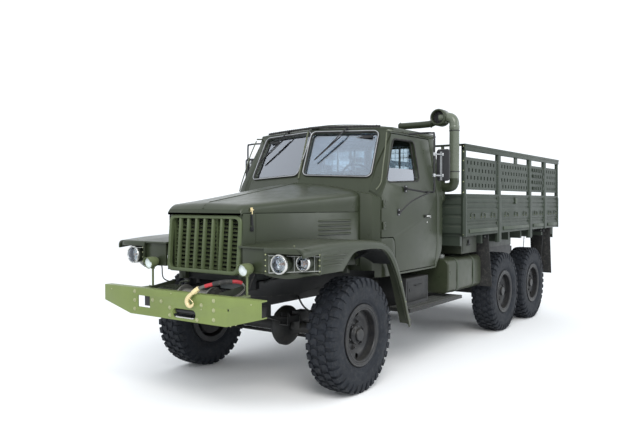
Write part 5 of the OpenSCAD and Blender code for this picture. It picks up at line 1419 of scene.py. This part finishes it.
def build_intake():
    pipe, parts, dark = Shape(), Shape(), Shape()
    x, y = -2.125, 1.140
    pipe.lathe([(0.048, 0), (0.060, 0.0), (0.060, 0.600), (0.063, 0.604), (0.063, 0.640), (0.060, 0.644),
                (0.048, 0.644)],
               (x, y, 2.140), (0, 0, 1), 48)
    bend = [(x, y, 2.775), (x, y - 0.004, 2.825), (x, y - 0.030, 2.868), (x, y - 0.080, 2.888),
            (x, 0.955, 2.890)]
    pipe.tube(smooth_line(bend, 6), 0.0595, 32)
    # the drum with its mouth facing forward
    parts.lathe([(0.020, -0.090), (0.080, -0.088), (0.100, -0.078), (0.105, -0.060), (0.105, 0.070),
                 (0.099, 0.086),
                 (0.088, 0.094), (0.080, 0.088), (0.076, 0.050), (0.072, -0.060), (0.020, -0.066)],
                (x, 0.955, 2.890), (1, 0, 0), 56)
    # a dark disc inside the drum's mouth: painted shade standing for the dark inside of the drum; the rods
    # in front of it are the real mesh, the bands below are real clamps
    dark.lathe([(0.001, 0.030), (0.074, 0.030), (0.074, 0.036), (0.001, 0.036)], (x, 0.955, 2.890),
               (1, 0, 0), 40)
    for k in range(-3, 4):
        w = k * 0.020
        h = math.sqrt(0.078 ** 2 - w * w)
        dark.rod((x + 0.050, 0.955 + w, 2.890 - h), (x + 0.050, 0.955 + w, 2.890 + h), 0.0022, 6)
        dark.rod((x + 0.052, 0.955 - h, 2.890 + w), (x + 0.052, 0.955 + h, 2.890 + w), 0.0022, 6)
    parts.tube(smooth_line([(x, 0.900, 2.860), (x, 0.840, 2.828), (x, 0.700, 2.820), (x, 0.500, 2.820),
                            (x, 0.385, 2.820)], 5),
               0.042, 28)
    for yy in (0.830, 0.400):
        parts.tube([(x + 0.0425 * math.cos(t), yy, 2.822 + 0.0425 * math.sin(t)) for t in
                    (2 * math.pi * k / 28 for k in range(28))], 0.0048, 8, closed=True)
    # canister behind the cab, its bands and the foot bracket
    parts.lathe([(0.030, 0.0), (0.085, 0.004), (0.104, 0.016), (0.110, 0.040), (0.110, 0.370),
                 (0.104, 0.394),
                 (0.085, 0.406), (0.030, 0.410)], (x, 0.900, 1.850), (0, 0, 1), 56)
    for z in (1.930, 2.180):
        parts.tube([(x + 0.1105 * math.cos(t), 0.900 + 0.1105 * math.sin(t), z) for t in
                    (2 * math.pi * k / 40 for k in range(40))], 0.0055, 8, closed=True)
    parts.tube(smooth_line([(x, 1.140, 2.150), (x, 1.140, 2.090), (x, 1.115, 2.045), (x, 1.060, 2.030),
                            (x, 0.990, 2.030)], 5),
               0.058, 28)
    for z in (2.220, 2.720):
        dark.tube([(x + 0.062 * math.cos(t), y + 0.062 * math.sin(t), z) for t in
                   (2 * math.pi * k / 28 for k in range(28))], 0.005, 8, closed=True)
    parts.box((-2.135, 0.955, 2.300), (-2.115, 1.090, 2.330))
    parts.box((-2.200, 0.860, 1.790), (-2.050, 0.940, 1.860))
    piece("intake_pipe", pipe, "chassis", intake_green, replaces=("air_intake",), sharp=40)
    piece("intake_drum", parts, "chassis", olive, sharp=40)
    piece("intake_mesh_and_shade_disc", dark, "chassis", mirror_black)


def build_cab_inside():
    """Steering wheel, gauges, pedals, levers, the rear window's guard."""
    centre = Vector((-1.030, 0.470, 2.110))
    tilt = Matrix.Rotation(math.radians(-50), 3, "Y")
    rim, hub = Shape(), Shape()
    ring = [centre + tilt @ Vector((0.215 * math.cos(t), 0.215 * math.sin(t), 0)) for t in
            (2 * math.pi * k / 72 for k in range(72))]
    rim.tube(ring, [0.0135 + (0.0012 if k % 3 == 0 else 0) for k in range(72)], 12, closed=True)
    for k in range(3):
        a = math.radians(90 + 120 * k)
        out = centre + tilt @ Vector((0.212 * math.cos(a), 0.212 * math.sin(a), 0))
        mid = centre + tilt @ Vector((0.100 * math.cos(a), 0.100 * math.sin(a), -0.018))
        near = centre + tilt @ Vector((0.030 * math.cos(a), 0.030 * math.sin(a), -0.030))
        hub.tube(smooth_line([near, mid, out], 6), 0.008, 10)
    axis = tilt @ Vector((0, 0, 1))
    hub.lathe([(0.001, -0.050), (0.042, -0.048), (0.046, -0.035), (0.044, -0.010), (0.034, 0.002),
               (0.001, 0.006)],
              centre, axis, 40)
    piece("steering_rim", rim, "steering_wheel", mirror_black,
          replaces=("steering_wheel",), sharp=60)
    piece("steering_hub", hub, "steering_wheel", interior_black, sharp=40)
    s, dials, chrome = Shape(), Shape(), Shape()
    s.tube(smooth_line([centre - axis * 0.055, centre - axis * 0.30, centre - axis * 0.52], 4), 0.024, 20)
    for k, (y, r) in enumerate(((0.62, 0.045), (0.50, 0.060), (0.35, 0.060), (0.23, 0.040), (0.14, 0.040))):
        at, face = Vector((-0.884, y, 1.905)), Vector((-1, 0, 0.1)).normalized()
        chrome.lathe([(r, 0.0), (r * 1.1, 0.0), (r * 1.1, 0.008), (r * 0.96, 0.010), (r * 0.92, 0.004)], at,
                     face, 32)
        dials.lathe([(0.001, 0.002), (r * 0.94, 0.002), (r * 0.94, 0.004), (0.001, 0.004)], at, face, 32)
        chrome.rod(at + face * 0.004 - Vector((0, r * 0.1, 0)),
                   at + face * 0.005 + Vector((0, r * 0.5, r * 0.5)), 0.0015, 6)
    for k in range(7):
        chrome.rod((-0.884, -0.06 - k * 0.06, 1.880), (-0.902, -0.06 - k * 0.06, 1.882), 0.008, 12,
                   chamfer=0.001)
    for y, top, back in ((0.16, 1.86, -1.12), (0.02, 1.70, -1.20)):
        s.tube(smooth_line([(-1.00, y, 1.20), (-1.02, y, 1.45), (back, y, top)], 5), 0.010, 10)
        s.lathe([(0.001, -0.026), (0.018, -0.020), (0.026, 0.0), (0.018, 0.020), (0.001, 0.026)],
                (back, y, top), (0, 0, 1), 20)
    for y in (0.34, 0.47, 0.60):
        s.box((-0.760, y - 0.030, 1.330), (-0.745, y + 0.030, 1.400))
        s.rod((-0.752, y, 1.400), (-0.720, y, 1.620), 0.008, 8)
    piece("cab_controls", s, "chassis", interior_black, bevel=0.0012)
    piece("gauge_rings", chrome, "chassis", trim_silver)
    piece("gauge_faces", dials, "chassis", frosted)
    s = Shape()
    for side in (1, -1):
        for k in range(12):
            y = side * (0.05 + k * 0.058)
            s.rod((-1.985, y, 2.265), (-1.985, y, 2.540), 0.0035, 6)
        for k in range(5):
            z = 2.290 + k * 0.058
            s.rod((-1.981, side * 0.035, z), (-1.981, side * 0.695, z), 0.0035, 6)
        for y in (0.04, 0.20, 0.47, 0.69):
            s.box((-1.975, side * (y - 0.012), 2.262), (-1.965, side * (y + 0.012), 2.543))
    piece("rear_guard", s, "chassis", guard_steel)
    # folded sun visors and the inside mirror
    s = Shape()
    for side in (1, -1):
        s.box((-0.990, side * 0.15, 2.560), (-0.860, side * 0.72, 2.580))
        s.rod((-0.880, side * 0.12, 2.585), (-0.880, side * 0.74, 2.585), 0.007, 10)
    s.box((-0.880, -0.095, 2.470), (-0.868, 0.095, 2.525))
    s.rod((-0.874, 0, 2.520), (-0.860, 0, 2.600), 0.006, 8)
    piece("sun_visors", s, "chassis", interior_black, bevel=0.005)


def cushion(name, lo, hi, lean=0.0, lift=0.026):
    """A stuffed seat pad, blown up by a short cloth run."""
    size = [b - a for a, b in zip(lo, hi)]
    inset = 0.022
    s = Shape().box([a + inset for a in lo], [b - inset for b in hi])
    obj = raw_object(name, s)
    m = obj.modifiers.new("round", "BEVEL")
    m.width, m.segments, m.limit_method = min(size) * 0.22, 4, "NONE"
    r = obj.modifiers.new("grid", "REMESH")
    r.mode, r.voxel_size = "VOXEL", 0.014
    bpy.context.view_layer.update()
    with_modifiers(obj)
    held = obj.vertex_groups.new(name="held")
    low = min(v.co.z for v in obj.data.vertices) + 0.02
    x_lo = min(v.co.x for v in obj.data.vertices)
    rear = size[0] < size[2]
    keep = [v.index for v in obj.data.vertices
            if (v.co.x < x_lo + 0.02 if rear else v.co.z < low)]
    held.add(keep, 1.0, "REPLACE")
    c = obj.modifiers.new("cloth", "CLOTH")
    c.settings.use_pressure = True
    c.settings.uniform_pressure_force = 4.0
    c.settings.vertex_group_mass = "held"
    c.settings.effector_weights.gravity = 0.0
    c.settings.quality = 5
    c.point_cache.frame_start, c.point_cache.frame_end = 1, 20
    start = [v.co.copy() for v in obj.data.vertices]
    for f in range(1, 21):
        bpy.context.scene.frame_set(f)
    bpy.context.view_layer.update()
    with_modifiers(obj)
    bpy.context.scene.frame_set(1)
    for v, p in zip(obj.data.vertices, start):
        d = v.co - p
        if d.length > lift:
            v.co = p + d.normalized() * lift
    sub = obj.modifiers.new("smooth", "SUBSURF")
    sub.levels = 1
    bpy.context.view_layer.update()
    with_modifiers(obj)
    if lean:
        base = Vector((hi[0] + AXLE_X, 0, lo[2]))
        for v in obj.data.vertices:
            v.co.x -= (v.co.z - base.z) * lean
    return obj


def build_seats():
    frame_shape, piping = Shape(), Shape()
    pads = []
    for k, (y, half) in enumerate(((0.470, 0.270), (-0.400, 0.400))):
        bottom = cushion(f"seat_pad_{k}", (-1.745, y - half, 1.500), (-1.262, y + half, 1.620))
        rest = cushion(f"seat_rest_{k}", (-1.775, y - half, 1.640), (-1.668, y + half, 2.135), lean=0.18)
        pads += [bottom, rest]
        frame_shape.box((-1.760, y - half + 0.01, 1.480), (-1.265, y + half - 0.01, 1.508))
        frame_shape.box((-1.795, y - half + 0.03, 1.490), (-1.772, y + half - 0.03, 1.66))
        for x in (-1.70, -1.33):
            frame_shape.box((x - 0.015, y - half + 0.04, 1.36), (x + 0.015, y - half + 0.07, 1.485))
            frame_shape.box((x - 0.015, y + half - 0.07, 1.36), (x + 0.015, y + half - 0.04, 1.485))
        ring = [(-1.503 + u, y + v, 1.612) for u, v in rounded_rect(0.468, half * 2 - 0.014, 0.030, 5)]
        piping.tube(ring, 0.0048, 6, closed=True)
    for obj in pads:
        settle(obj, "chassis", seat_vinyl, sharp=80)
    piece("seat_frames", frame_shape, "chassis", interior_black, replaces=("seats",),
          bevel=0.003)
    piece("seat_piping", piping, "chassis", rubber_black)


trim_silver = paint("trim_silver", (0.42, 0.43, 0.44), rough=0.30, metal=0.85, dust=0.03, dirt=0)
trim_olive = paint("trim_olive", (0.085, 0.095, 0.060), rough=0.25, coat=0.4, dust=0.04)
intake_green = paint("intake_green", (0.100, 0.115, 0.085), rough=0.26, coat=0.4, dust=0.06)
build_screens()
build_doors()
build_mirrors()
build_intake()
build_cab_inside()
build_seats()
from_node("cab_shell_soft", "cab_shell", olive, bevel=0.012, segments=4, angle=16)
from_node("cab_roof_soft", "cab_roof", olive, bevel=0.010, segments=3, angle=9, sharp=50)


# ---------------------------------------------------------------- cargo bed

BED_HEAD, BED_REAR = -2.250, -6.260
BED_LOW, BED_TOP, BOARD_TOP = 1.420, 2.570, 1.953
POST_AT = [BED_HEAD + (BED_REAR - BED_HEAD) * s for s in (0.0, 0.30, 0.63, 0.815, 1.0)]


def post_span(i):
    """The X range of a side post; the end ones are half as wide."""
    x = POST_AT[i]
    if i == 0:
        return x - 0.060, x
    if i == 4:
        return x, x + 0.060
    return x - 0.060, x + 0.060


def bed_side_shapes():
    posts, boards, panels, loops, studs = Shape(), Shape(), Shape(), Shape(), Shape()
    for i in range(5):
        lo, hi = post_span(i)
        foot = 1.300 if i in (1, 2) else BED_LOW
        # a pressed hat: proud along the boards, set back above the kink
        proud = [(foot, 1.235), (1.900, 1.235), (1.945, 1.226), (2.520, 1.222), (BED_TOP - 0.004, 1.222)]
        rings = []
        for z, y in proud:
            w = min(0.016, (hi - lo) * 0.25)
            rings.append([(lo, 1.176, z), (lo, 1.212, z), (lo + w, y, z), (hi - w, y, z), (hi, 1.212, z),
                          (hi, 1.176, z)])
        posts.loft(rings)
        posts.box((lo - 0.012 if i else lo, 1.196, BED_LOW + 0.03),
                  (hi + 0.012 if i < 4 else hi, 1.2135, 1.90))
        for z in (1.50, 1.72, 1.90, 2.04, 2.20, 2.38, 2.50):
            for x in (lo + 0.008, hi - 0.008):
                studs.rivet((x, 1.2125, z), (0, 1, 0), 0.006)
        if i == 0:
            for z in (1.45, 1.56, 1.70, 1.84, 1.97, 2.10, 2.24, 2.36, 2.47, 2.54):
                studs.rivet((BED_HEAD - 0.001, 1.206, z), (1, 0, 0), 0.0075)
    posts.box((BED_REAR, 1.180, 2.492), (BED_HEAD, 1.228, 2.560))
    posts.tube([(BED_REAR, 1.204, 2.5575), (BED_HEAD, 1.204, 2.5575)], 0.0125, 12)
    posts.box((BED_REAR, 1.176, 2.540), (BED_HEAD, 1.232, 2.5695))

    # the lower boards: pressed steel with grooves along them
    section = [(1.195, 1.424), (1.221, 1.424), (1.226, 1.432), (1.226, 1.452), (1.221, 1.460)]
    for z, w in ((1.560, 0.016), (1.600, 0.014), (1.771, 0.018), (1.835, 0.014), (1.897, 0.018)):
        section += [(1.221, z - w), (1.212, z - w * 0.4), (1.212, z + w * 0.4), (1.221, z + w)]
    section += [(1.221, 1.930), (1.226, 1.938), (1.224, 1.951), (1.195, 1.953)]
    boards.loft([[(x, y, z) for y, z in section] for x in (BED_REAR + 0.01, BED_HEAD - 0.01)])

    for bay in range(4):
        front, rear = post_span(bay)[0] - 0.012, post_span(bay + 1)[1] + 0.012
        length = front - rear
        # bracket strip with tie loops
        boards.box((rear, 1.2195, 1.640), (front, 1.2245, 1.708))
        count = max(1, round(length / 0.36))
        for k in range(count):
            x = front - length * (k + 0.5) / count - (0.03 if bay > 1 else 0.0)
            pts = [(x - 0.062, 1.221, 1.640), (x - 0.062, 1.2305, 1.655), (x - 0.060, 1.231, 1.690),
                   (x - 0.035, 1.2315, 1.706),
                   (x + 0.035, 1.2315, 1.706), (x + 0.060, 1.231, 1.690), (x + 0.062, 1.2305, 1.655),
                   (x + 0.062, 1.221, 1.640)]
            loops.tube(smooth_line(pts, 3), 0.0055, 8)
            for dx in (-0.062, 0.062):
                studs.rivet((x + dx, 1.2245, 1.655), (0, 1, 0), 0.008)
        # the bar along the sill with its dark ends
        loops.box((rear + 0.010, 1.2205, 1.462), (front - 0.075, 1.2330, 1.500))
        loops.tube([(rear + 0.010, 1.227, 1.502), (front - 0.070, 1.227, 1.502)], 0.007, 10)
        # end caps of the board behind the posts
        for z in (1.56, 1.80, 1.90):
            loops.box((rear, 1.219, z - 0.028), (rear + 0.020, 1.2265, z + 0.028))
        # the pierced panel and its folded edges
        panels.box((rear, 1.194, 2.012), (front, 1.206, 2.402))
        panels.tube([(rear, 1.200, 2.403), (front, 1.200, 2.403)], 0.0075, 10)
        panels.tube([(rear, 1.200, 2.012), (front, 1.200, 2.012)], 0.0075, 10)
    posts.box((-4.200, 1.196, 2.400), (-4.080, 1.2135, 2.495))
    loops.box((-4.135, 1.2205, 1.825), (-4.065, 1.2345, 1.905))
    loops.rod((-4.10, 1.2335, 1.865), (-4.10, 1.2350, 1.865), 0.014, 16)
    return posts, boards, panels, loops, studs


def panel_slots():
    """The staggered upright slots through each panel."""
    s = Shape()
    for bay, count in enumerate((9, 10, 6, 5)):
        front, rear = post_span(bay)[0] - 0.012, post_span(bay + 1)[1] + 0.012
        pitch = (front - rear) / (count + 0.5)
        for row, z in enumerate((2.345, 2.252, 2.158, 2.064)):
            for k in range(count):
                x = front - pitch * (k + (0.5 if row % 2 == 0 else 0.9))
                if x - 0.022 > rear + 0.02:
                    s.box((x - 0.019, 1.17, z - 0.0235), (x + 0.019, 1.23, z + 0.0235))
    return s


def build_bed():
    for word, side in (("left", 1), ("right", -1)):
        turn = (lambda q: q) if side > 0 else other_side
        posts, boards, panels, loops, studs = bed_side_shapes()
        node = f"bed_side_{word}"
        piece(node + "_posts", turn(posts), "chassis", bed_green, replaces=(node,), bevel=0.003)
        piece(node + "_boards", turn(boards), "chassis", bed_green, bevel=0.0015)
        piece(node + "_panels", turn(panels), "chassis", bed_green, cutters=(turn(panel_slots()),),
              bevel=0.0008, segments=1)
        # dark sheets right behind each pierced panel: painted shade that fills the slots with black in
        # place of the shaded inside of the bed
        back = Shape()
        for bay in range(4):
            back.box((post_span(bay + 1)[1], 1.1915, 2.016), (post_span(bay)[0], 1.1945, 2.398))
        piece(node + "_painted_shade_backs", turn(back), "chassis", mirror_black, bevel=0.001, segments=1)
        piece(node + "_loops", turn(loops), "chassis", bed_dark, bevel=0.0012)
        piece(node + "_studs", turn(studs), "chassis", bolt_green)

    # headboard: a pressed board, uprights and a top bar
    s, studs = Shape(), Shape()
    x0, x1 = BED_HEAD - 0.040, BED_HEAD
    section = [(x0, 1.460), (x1 - 0.004, 1.460)]
    for z in (1.56, 1.68, 1.80, 1.90):
        section += [(x1 - 0.004, z - 0.022), (x1 - 0.016, z - 0.010), (x1 - 0.016, z + 0.010),
                    (x1 - 0.004, z + 0.022)]
    section += [(x1 - 0.004, BOARD_TOP - 0.002), (x0, BOARD_TOP - 0.002)]
    s.loft([[(x, y, z) for x, z in section] for y in (-1.176, 1.176)])
    for k in range(-2, 3):
        y = k * 0.460
        s.box((x0 + 0.004, y - 0.016, 1.47), (x1, y + 0.016, BED_TOP - 0.02))
        s.box((x0 + 0.002, y - 0.040, BOARD_TOP - 0.10), (x0 + 0.010, y + 0.040, BOARD_TOP - 0.005))
        for z in (1.52, 1.64, 1.76, 1.88, 1.935):
            studs.rivet((x1 - 0.001, y, z), (1, 0, 0), 0.006)
        studs.bolt((x1 - 0.001, y, BED_TOP - 0.045), (1, 0, 0), 0.006, 0.004, washer=False)
    s.box((x0, -1.176, BED_TOP - 0.026), (x1, 1.176, BED_TOP - 0.001))
    piece("headboard_frame", s, "chassis", bed_green, replaces=("headboard",), bevel=0.003)
    piece("headboard_studs", studs, "chassis", bolt_green)

    # tailgate: pressed board with ribs, hinge straps, rings
    s, ribs = Shape(), Shape()
    lo, hi = -6.302, -6.265
    s.box((lo + 0.008, -1.168, 1.427), (hi, 1.168, 1.952))
    for z in (1.448, 1.70, 1.935):
        s.box((lo + 0.001, -1.168, z - 0.020), (lo + 0.010, 1.168, z + 0.016))
    for y in (-1.13, -0.94, -0.47, 0.47, 0.94, 1.13):
        s.box((lo, y - 0.022, 1.43), (lo + 0.010, y + 0.022, 1.95))
    for y in (-0.70, 0.0, 0.70):
        ribs.box((-6.318, y - 0.040, 1.436), (-6.300, y + 0.040, 1.952))
        ribs.rod((-6.286, y - 0.040, 1.410), (-6.286, y + 0.040, 1.410), 0.014, 24)
        ribs.box((-6.300, y - 0.040, 1.410), (-6.280, y + 0.040, 1.438))
        for z in (1.50, 1.62, 1.74, 1.86):
            ribs.bolt((-6.318, y, z), (-1, 0, 0), 0.010, 0.006)
    piece("tailgate_board", s, "tailgate", bed_green, replaces=("tailgate",), bevel=0.003)
    piece("tailgate_straps", ribs, "tailgate", bed_dark, bevel=0.0015)
    s = Shape()
    for y in (-1.10, 1.10):
        s.rod((-6.306, y, 1.90), (-6.300, y, 1.90), 0.020, 16)
        ring = [(-6.310, y + 0.030 * math.cos(t), 1.872 + 0.030 * math.sin(t)) for t in
                (2 * math.pi * k / 20 for k in range(20))]
        s.tube(ring, 0.005, 8, closed=True)
    piece("tailgate_rings", s, "tailgate", bright_steel)
    # board joints and cross seams on the bed's floor
    s, bolts = Shape(), Shape()
    for k in range(1, 10):
        y = -1.168 + k * 2.336 / 10
        s.box((BED_REAR + 0.01, y - 0.016, 1.459), (BED_HEAD - 0.045, y + 0.016, 1.464))
        for j in range(9):
            bolts.rivet((BED_HEAD - 0.20 - j * 0.45, y, 1.464), (0, 0, 1), 0.008)
    piece("floor_strips", s, "chassis", bed_dark, bevel=0.0012)
    piece("floor_bolts", bolts, "chassis", bolt_green)


bed_dark = paint("bed_dark", (0.036, 0.048, 0.030), rough=0.42, dust=0.12)
build_bed()


# ---------------------------------------------------------------- tank, boxes, guards

def build_tank():
    from_node("fuel_tank_body", "fuel_tank", olive, bevel=0.020, segments=4, angle=24)
    straps, cap = Shape(), Shape()
    outline = rounded_rect(0.512, 0.442, 0.100, 8)
    for x in (-2.330, -2.830):
        rings = []
        for dx in (-0.024, 0.024):
            rings.append([(x + dx, 0.850 + u, 0.935 + v) for u, v in outline])
        inner = [[(x + dx, 0.850 + u * 0.975, 0.935 + v * 0.972) for u, v in outline]
                 for dx in (0.024, -0.024)]
        straps.loft([rings[0], rings[1], inner[0], inner[1], rings[0]], cap=False)
        straps.bolt((x, 0.640, 1.156), (0, 0, 1), 0.010, 0.010)
        straps.tube([(x + 0.025, 1.1055, 0.86), (x + 0.025, 1.1055, 1.02)], 0.004, 8)
    cap.lathe([(0.001, 0.042), (0.040, 0.040), (0.046, 0.034), (0.046, 0.004), (0.056, 0.0), (0.056, -0.02),
               (0.001, -0.02)],
              (-2.250, 0.900, 1.152), (0, 0, 1), 40)
    for k in range(10):
        a = 2 * math.pi * k / 10
        cap.rod((-2.250 + 0.046 * math.cos(a), 0.900 + 0.046 * math.sin(a), 1.158),
                (-2.250 + 0.046 * math.cos(a), 0.900 + 0.046 * math.sin(a), 1.184), 0.004, 8)
    piece("tank_straps", straps, "chassis", bed_dark, bevel=0.0015)
    piece("tank_cap", cap, "chassis", guard_steel)


def build_boxes():
    from_node("tool_box_body", "tool_box", olive_dark, bevel=0.008, segments=3)
    s, m = Shape(), Shape()
    s.box((-2.905, 1.099, 1.215), (-2.475, 1.104, 1.395))
    s.tube([(-2.915, 1.103, 1.408), (-2.465, 1.103, 1.408)], 0.008, 10)
    m.rod((-2.640, 1.100, 1.335), (-2.640, 1.118, 1.335), 0.020, 20, chamfer=0.003)
    m.box((-2.650, 1.116, 1.300), (-2.630, 1.124, 1.370))
    m.tube(smooth_line([(-2.690, 1.104, 1.300), (-2.680, 1.122, 1.294), (-2.610, 1.122, 1.294),
                        (-2.600, 1.104, 1.300)], 4),
           0.005, 8)
    piece("tool_box_lid", s, "chassis", olive_dark, bevel=0.002)
    piece("tool_box_latch", m, "chassis", mirror_black, bevel=0.001)
    from_node("side_steps_soft", "side_steps", chassis_black, bevel=0.006, segments=2)
    s, treads = Shape(), Shape()
    for side in (1, -1):
        s.box((-1.670, side * 0.999, 0.720), (-1.180, side * 1.004, 0.955))
        s.tube(smooth_line([(-1.500, side * 1.002, 0.900), (-1.490, side * 1.022, 0.900),
                            (-1.360, side * 1.022, 0.900),
                            (-1.350, side * 1.002, 0.900)], 4), 0.006, 8)
        s.box((-1.250, side * 1.003, 0.840), (-1.220, side * 1.010, 0.870))
        for k in range(26):
            x = -2.360 + k * 0.053
            treads.box((x - 0.006, side * 0.862, 0.679), (x + 0.006, side * 1.118, 0.6845))
        for y in (0.870, 0.950, 1.030, 1.110):
            treads.box((-2.380, side * y - 0.004, 0.679), (-1.020, side * y + 0.004, 0.6835))
    piece("step_box_lids", s, "chassis", chassis_black, bevel=0.002)
    piece("step_treads", treads, "chassis", guard_steel)


def build_guards():
    s, bolts = Shape(), Shape()
    for side in (1, -1):
        for x, w in ((-3.128, 1), (-5.570, -1)):
            s.box((x - 0.008, side * 0.860, 1.360), (x + 0.020, side * 1.195, 1.405))
            for y in (0.90, 1.03, 1.15):
                bolts.bolt((x + 0.020, side * y, 1.385), (1, 0, 0), 0.009, 0.007)
            for y in (0.875, 1.180):
                s.tube([(x - 0.004 * w, side * y, 1.400), (x - w * 0.150, side * y, 0.700)], 0.006, 8)
    piece("guard_clamps", s, "chassis", chassis_black, bevel=0.002)
    piece("guard_bolts", bolts, "chassis", guard_steel)

    # brake hoses and air lines along the frame, spring clips
    s, clips = Shape(), Shape()
    for side in (1, -1):
        s.tube(smooth_line([(0.90, side * 0.425, 0.98), (0.20, side * 0.425, 0.93),
                            (-0.90, side * 0.425, 0.96),
                            (-2.40, side * 0.425, 0.93), (-3.80, side * 0.425, 0.96),
                            (-5.60, side * 0.425, 0.93)], 6), 0.007, 8)
        for x in (0.34, -0.34):
            clips.box((x - 0.018, side * 0.405, 0.640), (x + 0.018, side * 0.495, 0.650))
            for y in (0.402, 0.498):
                clips.box((x - 0.018, side * (y - 0.003), 0.640), (x + 0.018, side * (y + 0.003), 0.760))
        s.tube(smooth_line([(0.10, side * 0.43, 0.90), (0.12, side * 0.52, 0.80), (0.08, side * 0.64, 0.72),
                            (0.02, side * 0.70, 0.66)], 5), 0.009, 10)
    piece("air_lines", s, "chassis", rubber_black)
    piece("spring_clips", clips, "chassis", chassis_black, bevel=0.0015)


build_tank()
build_boxes()
build_guards()


# ---------------------------------------------------------------- every other CAD node

SLOT_OF = {n["node"]: n["material_slot"] for n in frame["record"]["subparts"]}


def dress_rest():
    stood = {n for o in bpy.data.objects for n in o.get("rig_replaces", [])}
    for n in sorted(frame["nodes"]):
        if n in stood:
            continue
        look = SLOT_LOOKS[SLOT_OF[n]]
        if n in PLAIN_NODES:
            node = frame["nodes"][n]
            node.data.materials.clear()
            node.data.materials.append(look)
        else:
            from_node(n + "_soft", n, look, bevel=0.004)


PLAIN_NODES = {"cab_glass", "door_glass_left", "door_glass_right"}
dress_rest()


# ---------------------------------------------------------------- stage

def build_stage():
    k = Looks("floor_paper")
    k.set(Base_Color=k.mix(k.ramp(k.noise(0.6, 4), 0.3, 0.7), (0.91, 0.915, 0.92), (0.93, 0.93, 0.93)))
    k.set(Roughness=0.9)
    k.bump((k.noise(8, 3), 0.02, 0.01))
    floor = Shape().box((-60, -60, -0.05), (60, 60, 0.0))
    obj = raw_object("floor", floor)
    obj.data.materials.append(k.mat)

    world = bpy.data.worlds.new("studio")
    bpy.context.scene.world = world
    world.use_nodes = True
    t = world.node_tree
    t.nodes.clear()
    out = t.nodes.new("ShaderNodeOutputWorld")
    sky = t.nodes.new("ShaderNodeBackground")
    sky.inputs["Color"].default_value = (0.92, 0.96, 1.0, 1)
    sky.inputs["Strength"].default_value = 1.2
    t.links.new(sky.outputs[0], out.inputs[0])

    for name, at, aim, size, power, colour in (
            ("key", (9.0, 6.5, 8.5), (0.5, 0.5, 1.0), 6.0, 800, (1.0, 0.98, 0.95)),
            ("side", (-4.0, 10.0, 5.0), (-1.0, 0, 1.2), 6.0, 250, (0.95, 0.98, 1.0))):
        light = bpy.data.lights.new(name, "AREA")
        light.shape = "DISK"
        light.size = size
        light.energy = power
        light.color = colour
        lamp = bpy.data.objects.new(name, light)
        bpy.context.scene.collection.objects.link(lamp)
        lamp.location = at
        lamp.rotation_mode = "QUATERNION"
        lamp.rotation_quaternion = (Vector(aim) - Vector(at)).to_track_quat("-Z", "Y")

    data = bpy.data.cameras.new("camera")
    data.lens = 37.63
    data.sensor_width = 36
    data.clip_end = 200
    camera = bpy.data.objects.new("camera", data)
    bpy.context.scene.collection.objects.link(camera)
    yaw, pitch = math.radians(35.3234), math.radians(0.9678)
    forward = Vector((-math.cos(yaw) * math.cos(pitch), -math.sin(yaw) * math.cos(pitch), -math.sin(pitch)))
    camera.location = (7.9689, 4.5199, 1.8535)
    camera.rotation_mode = "QUATERNION"
    camera.rotation_quaternion = forward.to_track_quat("-Z", "Y")
    bpy.context.scene.camera = camera
    bpy.context.scene.view_settings.view_transform = "Standard"
    bpy.context.scene.view_settings.look = "None"


build_stage()
